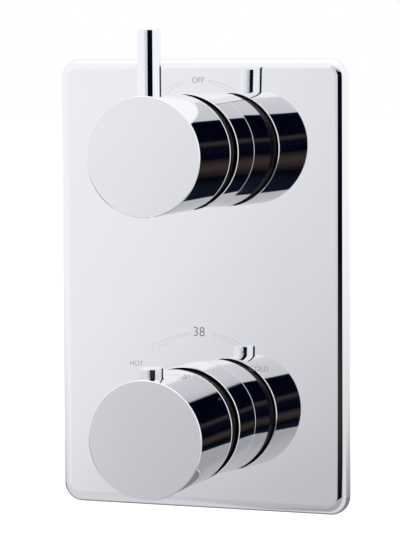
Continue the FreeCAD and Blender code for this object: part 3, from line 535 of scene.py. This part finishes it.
def pressed_fibre(name, colour):
    """Vulcanised fibre, with its felted strands."""
    material, tree, shader = finish(name)
    strands = noise(tree, scale=2600.0, detail=4.0, roughness=0.7, stretch=(1, 0.25, 0.25))
    tone = ramp(tree, strands, [(0.35, shade(colour, 0.6)), (0.65, shade(colour, 1.35))])
    paint(tree, shader, tone, maths(tree, "MULTIPLY_ADD", strands, 0.2, 0.62))
    bump(tree, shader, strands, 0.00004)
    return material


def lapped_ceramic(name, colour):
    """Dense white ceramic, lapped flat, with a few grey grains."""
    material, tree, shader = finish(name)
    grains = step_between(tree, noise(tree, scale=2400.0, detail=1.0), 0.66, 0.74)
    tone = blend_colours(tree, grains, colour, shade(colour, 0.7))
    cloudy = noise(tree, scale=70.0, detail=3.0)
    paint(tree, shader, tone, maths(tree, "MULTIPLY_ADD", cloudy, 0.12, 0.10))
    bump(tree, shader, noise(tree, scale=1200.0), 0.000002)
    return material


def etched_mark(name, colour):
    """A mark etched into chrome: a fine matt tooth, slightly uneven in tone."""
    material, tree, shader = finish(name, 0.35)
    tooth = noise(tree, scale=5200.0)
    tone = ramp(tree, tooth, [(0.3, shade(colour, 0.85)), (0.7, shade(colour, 1.15))])
    paint(tree, shader, tone, maths(tree, "MULTIPLY_ADD", tooth, 0.2, 0.5))
    bump(tree, shader, tooth, 0.00001)
    return material


PLATE_CHROME = pressed_chrome("plate_chrome")
# The knob's and the sleeve's chrome carry painted shade in the groove between them.
KNOB_CHROME = chrome_with_painted_groove_shade("knob_chrome", HANDLE_RADIUS - 0.0004, NECK_RADIUS + 0.0001)
SLEEVE_CHROME = chrome_with_painted_groove_shade("sleeve_chrome", HANDLE_RADIUS - 0.00035, 0.0)
HANDLE_CHROME = polished_chrome("handle_chrome")
CAST_BRASS = cast_metal("cast_brass", (0.60, 0.44, 0.22), (0.42, 0.28, 0.13), (0.80, 0.61, 0.31))
TURNED_BRASS = turned_metal("turned_brass", BRASS, 0.26, ALONG_DEPTH, CARTRIDGE_LINE)
PORT_BRASS = turned_metal("port_brass", BRASS, 0.24, ALONG_WIDTH, PORT_LINE, 1800.0, 0.000008)
BLACK_RUBBER = moulded("black_rubber", (0.022, 0.022, 0.024), 0.55, 1200.0, 0.00003, 0.2)
SEALING_FOAM = sealing_foam("sealing_foam", (0.055, 0.055, 0.06))
WHITE_PLASTIC = moulded("white_plastic", (0.78, 0.78, 0.74), 0.40)
RED_PLASTIC = moulded("red_plastic", (0.58, 0.035, 0.025), 0.36)
BLUE_PLASTIC = moulded("blue_plastic", (0.025, 0.13, 0.48), 0.36)
CERAMIC = lapped_ceramic("ceramic", (0.86, 0.85, 0.82))
STAINLESS = turned_metal("stainless", STEEL, 0.30, ALONG_DEPTH, CARTRIDGE_LINE, 3200.0, 0.000004)
FIBRE = pressed_fibre("fibre", (0.34, 0.085, 0.045))
PALE_MARK = etched_mark("pale_mark", (0.80, 0.79, 0.77))
GREY_MARK = etched_mark("grey_mark", (0.30, 0.30, 0.31))
DARK_MARK = etched_mark("dark_mark", (0.17, 0.17, 0.175))

FINISH_OF_SLOT = {
    "chrome": HANDLE_CHROME,
    "plate_chrome": PLATE_CHROME,
    "cast_brass": CAST_BRASS,
    "turned_brass": TURNED_BRASS,
    "rubber": BLACK_RUBBER,
    "gasket_foam": SEALING_FOAM,
    "white_plastic": WHITE_PLASTIC,
    "red_plastic": RED_PLASTIC,
    "blue_plastic": BLUE_PLASTIC,
    "ceramic": CERAMIC,
    "stainless": STAINLESS,
    "fibre": FIBRE,
}

for name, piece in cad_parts.items():
    for place, old in enumerate(piece.data.materials):
        kind = old.name.split(".")[0]
        material = FINISH_OF_SLOT[kind]
        if kind == "turned_brass" and name.endswith("_union"):
            material = PORT_BRASS
        elif name.endswith("_sleeve"):
            material = SLEEVE_CHROME
        piece.data.materials[place] = material


# ---------------------------------------------------------------- face plate and handle heads


def add_object(name, data):
    """A new object in the scene that shows a mesh, or a camera."""
    made = bpy.data.objects.new(name, data)
    bpy.context.collection.objects.link(made)
    return made


def mesh_from(name, tool):
    """The finished mesh of what was built in a bmesh, which is then let go."""
    mesh = bpy.data.meshes.new(name)
    tool.to_mesh(mesh)
    tool.free()
    return mesh


def place_piece(name, tool, material, body, slot, *nodes):
    """Finish a mesh, stand it in for its CAD nodes and let it ride on a body."""
    bmesh.ops.recalc_face_normals(tool, faces=tool.faces)
    for face in tool.faces:
        face.smooth = True
    for edge in tool.edges:
        if len(edge.link_faces) == 2 and edge.calc_face_angle() > SHARP_ANGLE:
            edge.smooth = False
    mesh = mesh_from(name, tool)
    mesh.materials.append(material)
    piece = add_object(name, mesh)
    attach(piece, body)
    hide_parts(*nodes)


def outline(tool, inset, y):
    """One loop round the plate at an inset and a depth."""
    half_x, half_z = PLATE_HIGH.x - inset, PLATE_HIGH.z - inset
    radius = max(PLATE_CORNER - inset, 0.0005)
    points = []
    for corner_x, corner_z, start in ((1, 1, 0), (-1, 1, 90), (-1, -1, 180), (1, -1, 270)):
        for step in range(CORNER_STEPS + 1):
            turn = math.radians(start + 90 * step / CORNER_STEPS)
            x = corner_x * (half_x - radius) + radius * math.cos(turn)
            z = corner_z * (half_z - radius) + radius * math.sin(turn)
            points.append(tool.verts.new((x, y, z)))
    return points


def round_points(radius, count):
    """Corners of a circle in its own plane."""
    turns = [2 * math.pi * step / count for step in range(count)]
    return [(radius * math.cos(turn), radius * math.sin(turn)) for turn in turns]


def circle(tool, radius, y, axis, count):
    """One loop round a handle's axis."""
    return [tool.verts.new((x, y, axis + z)) for x, z in round_points(radius, count)]


def bridge(tool, first, second):
    """Faces between two loops of the same length."""
    count = len(first)
    for i in range(count):
        j = (i + 1) % count
        tool.faces.new((first[i], first[j], second[j], second[i]))


def loop_edges(tool, loop):
    """The edges of a closed loop, made where they are missing."""
    edges = []
    for i, start in enumerate(loop):
        end = loop[(i + 1) % len(loop)]
        edges.append(tool.edges.get((start, end)) or tool.edges.new((start, end)))
    return edges


def make_plate():
    """Shallow pressed pan: flat front, rolled edge, open back, and a hole for each sleeve."""
    tool = bmesh.new()
    back_of_front = PLATE_FRONT + PLATE_SHEET
    inner_bend = 0.0012
    rim_chamfer = 0.0001
    front_band = 0.0006
    loops = [outline(tool, PLATE_ROUNDING + front_band, PLATE_FRONT)]
    for step in range(ROUNDING_STEPS + 1):
        turn = math.radians(90 * step / ROUNDING_STEPS)
        inset = PLATE_ROUNDING * (1 - math.sin(turn))
        loops.append(outline(tool, inset, PLATE_FRONT + PLATE_ROUNDING * (1 - math.cos(turn))))
    for inset, y in (
        (0.0, PLATE_HIGH.y - rim_chamfer),
        (rim_chamfer, PLATE_HIGH.y),
        (PLATE_SHEET, PLATE_HIGH.y),
        (PLATE_SHEET, back_of_front + inner_bend),
        (PLATE_SHEET + inner_bend, back_of_front),
    ):
        loops.append(outline(tool, inset, y))
    for near, far in zip(loops, loops[1:]):
        bridge(tool, near, far)
    front_edges, back_edges = loop_edges(tool, loops[0]), loop_edges(tool, loops[-1])
    for axis in (FLOW_AXIS, TEMPERATURE_AXIS):
        near = circle(tool, SLEEVE_RADIUS - SLEEVE_SEAT, PLATE_FRONT, axis, HOLE_SIDES)
        far = circle(tool, SLEEVE_RADIUS - SLEEVE_SEAT, back_of_front, axis, HOLE_SIDES)
        bridge(tool, near, far)
        front_edges += loop_edges(tool, near)
        back_edges += loop_edges(tool, far)
    bmesh.ops.triangle_fill(tool, edges=front_edges, use_beauty=True, use_dissolve=False)
    bmesh.ops.triangle_fill(tool, edges=back_edges, use_beauty=True, use_dissolve=False)
    place_piece("pressed_plate", tool, PLATE_CHROME, "valve", "plate_chrome", "face_plate")


def turned_tool(profile, axis):
    """Mesh of a turned piece from (y, radius) corners. A radius of 0 is a point on the axis."""
    tool = bmesh.new()
    rows = []
    for y, radius in profile:
        if radius == 0:
            rows.append([tool.verts.new((0, y, axis))])
        else:
            rows.append(circle(tool, radius, y, axis, TURNED_SIDES))
    for near, far in zip(rows, rows[1:]):
        if len(near) == 1 or len(far) == 1:
            tip, rim = (near[0], far) if len(near) == 1 else (far[0], near)
            for i in range(TURNED_SIDES):
                tool.faces.new((tip, rim[i], rim[(i + 1) % TURNED_SIDES]))
        else:
            bridge(tool, near, far)
    bmesh.ops.recalc_face_normals(tool, faces=tool.faces)
    return tool


def drill(corners, low, high):
    """An upright cutter with these (x, y) corners, between two heights."""
    tool = bmesh.new()
    rings = [[tool.verts.new((x, y, z)) for x, y in corners] for z in (low, high)]
    bridge(tool, *rings)
    for ring in rings:
        tool.faces.new(ring)
    bmesh.ops.recalc_face_normals(tool, faces=tool.faces)
    return add_object("drill", mesh_from("drill", tool))


def bored(tool, holes, slots):
    """The mesh with upright holes and square slots cut in it.

    A hole is (radius, y, low z, high z), a slot is (low corner, high corner).
    """
    blank = add_object("turned_blank", mesh_from("turned_blank", tool))
    cutters = []
    for radius, y, low, high in holes:
        corners = [(x, y + across) for x, across in round_points(radius, DRILL_SIDES)]
        cutters.append(drill(corners, low, high))
    for (x0, y0, z0), (x1, y1, z1) in slots:
        cutters.append(drill([(x0, y0), (x1, y0), (x1, y1), (x0, y1)], z0, z1))
    for cutter in cutters:
        cut = blank.modifiers.new("bore", "BOOLEAN")
        cut.operation, cut.solver, cut.object = "DIFFERENCE", "EXACT", cutter
    graph = bpy.context.evaluated_depsgraph_get()
    graph.update()
    made = bmesh.new()
    made.from_mesh(bpy.data.meshes.new_from_object(blank.evaluated_get(graph)))
    for spare in [blank] + cutters:
        bpy.data.objects.remove(spare)
    return made


def knob_profile():
    """Head and neck of a handle, with room for the screw behind the head.

    The fine notch at the head's rear rim shows as a bright line.
    """
    chamfer = 0.0004
    flat_face = 0.006
    notch_start, notch_foot, notch_end = 0.001, 0.0006, 0.0001
    notch_depth = 0.00045
    return [
        (HANDLE_FRONT, 0.0),
        (HANDLE_FRONT, HANDLE_RADIUS - flat_face),
        (HANDLE_FRONT, HANDLE_RADIUS - chamfer),
        (HANDLE_FRONT + chamfer, HANDLE_RADIUS),
        (HANDLE_FRONT + 0.001, HANDLE_RADIUS),
        (HANDLE_REAR - notch_start, HANDLE_RADIUS),
        (HANDLE_REAR - notch_foot, HANDLE_RADIUS - notch_depth),
        (HANDLE_REAR - notch_end, HANDLE_RADIUS),
        (HANDLE_REAR, HANDLE_RADIUS - 0.0001),
        (HANDLE_REAR, NECK_RADIUS),
        (NECK_END, NECK_RADIUS),
        (NECK_END, KNOB_BORE),
        (HEAD_END, KNOB_BORE),
        (HEAD_END, SCREW_ROOM),
        (HEAD_END - SCREW_DEPTH, SCREW_ROOM),
        (HEAD_END - SCREW_DEPTH, 0.0),
    ]


def make_knob(name, axis, body, replaced, holes, slots=()):
    """A handle's head, with bores for its lever or button and a grub-screw hole below."""
    past = 0.001
    upright = [(radius, y, axis + low, axis + high) for radius, y, low, high in holes]
    below, above = axis - (HANDLE_RADIUS + past), axis - KNOB_BORE + past
    upright.append((GRUB_SCREW_BORE, GRUB_SCREW_Y, below, above))
    square = [((*low[:2], axis + low[2]), (*high[:2], axis + high[2])) for low, high in slots]
    tool = bored(turned_tool(knob_profile(), axis), upright, square)
    place_piece(name, tool, KNOB_CHROME, body, "chrome", replaced)


make_plate()
make_knob("turned_flow_knob", FLOW_AXIS, "flow_control", "flow_knob", LEVER_HOLES)
make_knob(
    "turned_temperature_knob", TEMPERATURE_AXIS, "temperature_control", "temperature_knob",
    BUTTON_HOLES, BUTTON_SLOTS,
)


# ---------------------------------------------------------------- springs


def coil_spring(name, body, side):
    """A compression spring copied from its CAD node, riding on a body in the node's place.

    The side given picks its fixed end, which nothing uses.
    """
    low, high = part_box(name)
    piece = add_object("closing_" + name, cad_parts[name].data.copy())
    anchor = [(low[i] + high[i]) / 2 for i in range(3)]
    along = [abs(part) for part in side].index(1)
    anchor[along] = high[along] if side[along] > 0 else low[along]
    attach(piece, body)
    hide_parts(name)
    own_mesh(piece)


coil_spring("return_spring", "valve", (0, 1, 0))
coil_spring("hot_check_spring", "valve", (1, 0, 0))
coil_spring("cold_check_spring", "valve", (-1, 0, 0))
coil_spring("stop_button_spring", "temperature_control", (0, 0, -1))


# ---------------------------------------------------------------- marks on the face plate


def settle(name, mesh, material):
    """Make a mesh a piece of the fixed valve."""
    piece = add_object(name, mesh)
    mesh.materials.clear()
    mesh.materials.append(material)
    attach(piece, "valve")


def word(name, text, x, z, width, height, material, thinner):
    """Upright lettering on the plate, its middle at x, z. Sizes are in millimetres."""
    letters = bpy.data.curves.new(name, "FONT")
    letters.body = text
    letters.extrude = 0.5
    letters.offset = thinner
    letters.resolution_u = 6
    shaped = bpy.data.objects.new(name, letters)
    mesh = bpy.data.meshes.new_from_object(shaped)
    bpy.data.objects.remove(shaped)
    low_x, high_x = (pick(v.co.x for v in mesh.vertices) for pick in (min, max))
    low_y, high_y = (pick(v.co.y for v in mesh.vertices) for pick in (min, max))
    for v in mesh.vertices:
        across = (v.co.x - (low_x + high_x) / 2) * width / (high_x - low_x)
        up = (v.co.y - (low_y + high_y) / 2) * height / (high_y - low_y)
        depth = -MARK_PROUD if v.co.z > 0 else MARK_SUNK
        v.co = Vector(((x + across) / 1000, PLATE_FRONT + depth, (z + up) / 1000))
    settle(name, mesh, material)


def stripe(tool, axis, line, width):
    """A thin band about a handle's axis, along (radius, degrees clockwise from the top)."""
    section = ((-1, -MARK_PROUD), (1, -MARK_PROUD), (1, MARK_SUNK), (-1, MARK_SUNK))
    rows = []
    for radius, degrees in line:
        turn = math.radians(degrees)
        row = []
        for reach, depth in section:
            far = (radius + reach * width / 2) / 1000
            place = (far * math.sin(turn), PLATE_FRONT + depth, axis + far * math.cos(turn))
            row.append(tool.verts.new(place))
        rows.append(row)
    for near, far in zip(rows, rows[1:]):
        bridge(tool, near, far)
    tool.faces.new(rows[0])
    tool.faces.new(rows[-1])


def sweep(r0, a0, r1, a1, steps=24):
    """Points whose radius and angle go evenly from one end to the other."""
    return [(r0 + (r1 - r0) * i / steps, a0 + (a1 - a0) * i / steps) for i in range(steps + 1)]


def scale_marks(name, axis, lines, material):
    """Several thin bands as one piece."""
    tool = bmesh.new()
    for line, width in lines:
        stripe(tool, axis, line, width)
    bmesh.ops.recalc_face_normals(tool, faces=tool.faces)
    settle(name, mesh_from(name, tool), material)


word("off_mark", "OFF", -0.4, 90.4, 5.7, 2.5, GREY_MARK, -0.012)
word("middle_temperature_mark", "38", -0.7, -20.8, 5.1, 4.1, DARK_MARK, -0.014)
word("hot_mark", "HOT", -30.5, -35.9, 6.1, 2.2, GREY_MARK, -0.016)
word("cold_mark", "COLD", 27.2, -36.3, 8.5, 2.2, GREY_MARK, -0.016)

# Each scale is two pairs of arcs that spread apart towards their ends, in millimetres and
# degrees from the top. An arrowhead ends the temperature scale on the left.
ARC_WIDTH = 0.16
ARROW_WIDTH = 0.18
ARROW_BASE, ARROW_TIP = -33, -37.5

flow_lines = []
for start, end in ((-16, -34), (8, 35)):
    flow_lines.append((sweep(31.0, start, 31.5, end), ARC_WIDTH))
    flow_lines.append((sweep(30.3, start, 29.2, end), ARC_WIDTH))
scale_marks("flow_scale", FLOW_AXIS, flow_lines, PALE_MARK)

heat_lines = []
for start, end in ((-7, -33), (7, 30)):
    heat_lines.append((sweep(38.3, start, 38.6, end), ARC_WIDTH))
    heat_lines.append((sweep(37.6, start, 37.0, end), ARC_WIDTH))
for r0, a0, r1, a1 in (
    (40.4, ARROW_BASE, 37.8, ARROW_TIP),
    (35.2, ARROW_BASE, 37.8, ARROW_TIP),
    (35.2, ARROW_BASE, 40.4, ARROW_BASE),
):
    heat_lines.append((sweep(r0, a0, r1, a1, steps=6), ARROW_WIDTH))
scale_marks("temperature_scale", TEMPERATURE_AXIS, heat_lines, PALE_MARK)


# ---------------------------------------------------------------- studio


def at(degrees):
    """Where a bearing, in degrees right of straight in front of the plate, falls on a ramp."""
    return 0.5 + degrees / 360.0


# How bright the tent's wall is by bearing, and how high (as the sine) its top light starts.
WALL_LEVELS = (
    (0.0, 1.0),
    (at(-32), 0.97),
    (at(-25), 0.93),
    (at(-22), 0.87),
    (at(-19), 0.79),
    (at(-15), 0.74),
    (at(-8), 0.70),
    (at(5), 0.65),
    (at(12), 0.54),
    (at(54), 0.60),
    (at(56), 0.98),
    (1.0, 1.0),
)
TOP_LIGHT_STARTS = (
    (0.0, 0.05),
    (at(-15), 0.05),
    (at(-8), 0.50),
    (at(52), 0.50),
    (at(58), 0.05),
    (1.0, 0.05),
)
TOP_LIGHT_FADE = 0.16

# The opening's edges in degrees. The left one slants by so many radians per unit downwards.
OPENING_LEFT, OPENING_SLANT = 6.4, 0.65
OPENING_RIGHT = 54.0
OPENING_TOP = 22.0

# The dim room's colours by elevation, in degrees.
ROOM_BANDS = (
    (-20, (0.007, 0.009, 0.018)),
    (-15, (0.005, 0.007, 0.016)),
    (-12, (0.0006, 0.001, 0.004)),
    (-7.5, (0.042, 0.030, 0.027)),
    (-5.5, (0.036, 0.025, 0.023)),
    (-2.5, (0.001, 0.0012, 0.006)),
    (4, (0.003, 0.004, 0.011)),
    (6, (0.036, 0.028, 0.029)),
    (7, (0.028, 0.022, 0.023)),
    (8, (0.0015, 0.002, 0.006)),
    (16, (0.0006, 0.001, 0.006)),
)

# How bright the table is by distance, in metres. It is darkest close behind the valve.
TABLE_LEVELS = (
    (0.0, 0.70),
    (0.6, 0.72),
    (0.9, 0.75),
    (1.3, 0.78),
    (1.75, 0.85),
    (2.8, 0.93),
    (4.0, 0.97),
    (8.0, 1.0),
)
TABLE_REACH = 8.0
TABLE_SHADOW = (0.22, 0.22, 0.23)


def make_tent():
    """What a direction meets: a white tent, and an opening in front onto a dim room."""
    group, given, out = effect(
        "studio_tent",
        [("Direction", "Vector", (0, -1, 0))],
        [("Wall", "Color"), ("Bare Wall", "Color"), ("Opening", "Float"), ("Room", "Color")],
    )
    x, y, z = parts_of(group, vectors(group, "NORMALIZE", given.outputs["Direction"]))
    azimuth = maths(group, "ARCTAN2", x, maths(group, "MULTIPLY", y, -1.0))
    turn = maths(group, "MULTIPLY_ADD", azimuth, 0.5 / math.pi, 0.5)

    wall = ramp(group, turn, [
        (place, (level, level * 1.005, min(level * 1.04, 1.02))) for place, level in WALL_LEVELS
    ])
    link(group, wall, out.inputs["Bare Wall"])
    starts = ramp(group, turn, greys(TOP_LIGHT_STARTS))
    over = maths(group, "DIVIDE", maths(group, "SUBTRACT", z, starts), TOP_LIGHT_FADE, clamp=True)
    top = maths(group, "MULTIPLY_ADD", step_between(group, z, 0.75, 0.95), 0.12, 1.0)
    link(group, blend_colours(group, over, wall, top), out.inputs["Wall"])

    below = maths(group, "MINIMUM", z, 0.0)
    left = maths(group, "MULTIPLY_ADD", below, OPENING_SLANT, math.radians(OPENING_LEFT))
    past = maths(group, "SUBTRACT", azimuth, left)
    soft = math.radians(0.5)
    right = math.radians(OPENING_RIGHT)
    left_edge = step_between(group, past, -soft, soft)
    right_edge = step_between(group, azimuth, right + soft, right - soft)
    higher, lower = (math.sin(math.radians(OPENING_TOP + step)) for step in (0.6, -0.6))
    upper_edge = step_between(group, z, higher, lower)
    sides = maths(group, "MULTIPLY", left_edge, right_edge)
    link(group, maths(group, "MULTIPLY", sides, upper_edge), out.inputs["Opening"])

    room = ramp(group, maths(group, "ADD", z, 0.5), [
        (0.5 + math.sin(math.radians(up)), colour) for up, colour in ROOM_BANDS
    ])
    link(group, room, out.inputs["Room"])
    return group


STUDIO_TENT = make_tent()


def table_in_reflections(tree):
    """The table as polished metal shows it: shaded by distance, and the room past its edge."""
    place = node(tree, "ShaderNodeNewGeometry").outputs["Position"]
    distance = vectors(tree, "LENGTH", place)
    forward = parts_of(tree, place)[1]
    away = maths(tree, "DIVIDE", distance, TABLE_REACH)
    levels = greys((reach / TABLE_REACH, level) for reach, level in TABLE_LEVELS)
    tent = use(tree, STUDIO_TENT, Direction=place)
    table = vectors(tree, "MULTIPLY", tent.outputs["Bare Wall"], ramp(tree, away, levels))
    behind = step_between(tree, forward, 0.0, 0.06)
    shadow = maths(tree, "MULTIPLY", behind, step_between(tree, distance, 1.3, 0.5))
    under = blend_colours(tree, shadow, table, TABLE_SHADOW)
    past_edge = step_between(tree, forward, TABLE_EDGE + 0.01, TABLE_EDGE - 0.01)
    opening = maths(tree, "MULTIPLY", past_edge, tent.outputs["Opening"])
    return blend_colours(tree, opening, under, tent.outputs["Room"])


def choose(tree, factor, first, second):
    """One shader where the factor is 0 and the other where it is 1."""
    made = node(tree, "ShaderNodeMixShader")
    for socket, value in zip(made.inputs, (factor, first, second)):
        link(tree, value, socket)
    return made.outputs[0]


def make_floor():
    """A pale table. The camera sees it a little lifted, and polished metal sees it shaded."""
    tool = bmesh.new()
    bmesh.ops.create_circle(tool, cap_ends=True, segments=96, radius=FLOOR_RADIUS)
    bmesh.ops.translate(tool, verts=tool.verts, vec=(0, 0, FLOOR_HEIGHT))
    floor = add_object("studio_floor", mesh_from("studio_floor", tool))
    material, tree, shader = finish("pale_floor")
    shader.inputs["Base Color"].default_value = (0.80, 0.80, 0.80, 1)
    shader.inputs["Roughness"].default_value = 0.9
    lift = node(tree, "ShaderNodeEmission")
    lift.inputs["Strength"].default_value = 0.35
    lifted = node(tree, "ShaderNodeAddShader")
    link(tree, shader.outputs[0], lifted.inputs[0])
    link(tree, lift.outputs[0], lifted.inputs[1])
    mirrored = node(tree, "ShaderNodeEmission")
    link(tree, table_in_reflections(tree), mirrored.inputs["Color"])
    rays = node(tree, "ShaderNodeLightPath")
    seen = choose(tree, rays.outputs["Is Camera Ray"], shader.outputs[0], lifted.outputs[0])
    whole = choose(tree, rays.outputs["Is Glossy Ray"], seen, mirrored.outputs[0])
    link(tree, whole, tree.nodes["Material Output"].inputs["Surface"])
    floor.data.materials.append(material)


def make_studio_light():
    """Light from the tent all round. The camera itself sees plain white."""
    world = bpy.data.worlds.new("studio_light")
    bpy.context.scene.world = world
    world.use_nodes = True
    tree = world.node_tree
    way = node(tree, "ShaderNodeTexCoord")
    tent = use(tree, STUDIO_TENT, Direction=way.outputs["Generated"])
    walls = blend_colours(
        tree, tent.outputs["Opening"], tent.outputs["Wall"], tent.outputs["Room"]
    )
    rays = node(tree, "ShaderNodeLightPath")
    shown = blend_colours(tree, rays.outputs["Is Camera Ray"], walls, (1, 1, 1))
    link(tree, shown, tree.nodes["Background"].inputs["Color"])


make_floor()
make_studio_light()

# ---------------------------------------------------------------- camera

SENSOR = 36.0
PICTURE_HEIGHT = 546.0
FOCAL_LENGTH = 2681.0
CAMERA_FROM_PLATE = (0.4068, -1.1081, 0.1090)
CAMERA_TIP, CAMERA_ROLL, CAMERA_TURN = 3.623, 0.359, 20.133

lens = bpy.data.cameras.new("camera")
camera = add_object("camera", lens)
lens.sensor_width = SENSOR
lens.lens = FOCAL_LENGTH * SENSOR / PICTURE_HEIGHT
lens.shift_y = -0.12
camera_x, camera_y, camera_z = CAMERA_FROM_PLATE
camera.location = (camera_x, camera_y + PLATE_FRONT, camera_z)
camera_angles = (90 - CAMERA_TIP, CAMERA_ROLL, CAMERA_TURN)
camera.rotation_euler = [math.radians(angle) for angle in camera_angles]
bpy.context.scene.camera = camera
bpy.context.scene.view_settings.view_transform = "Standard"
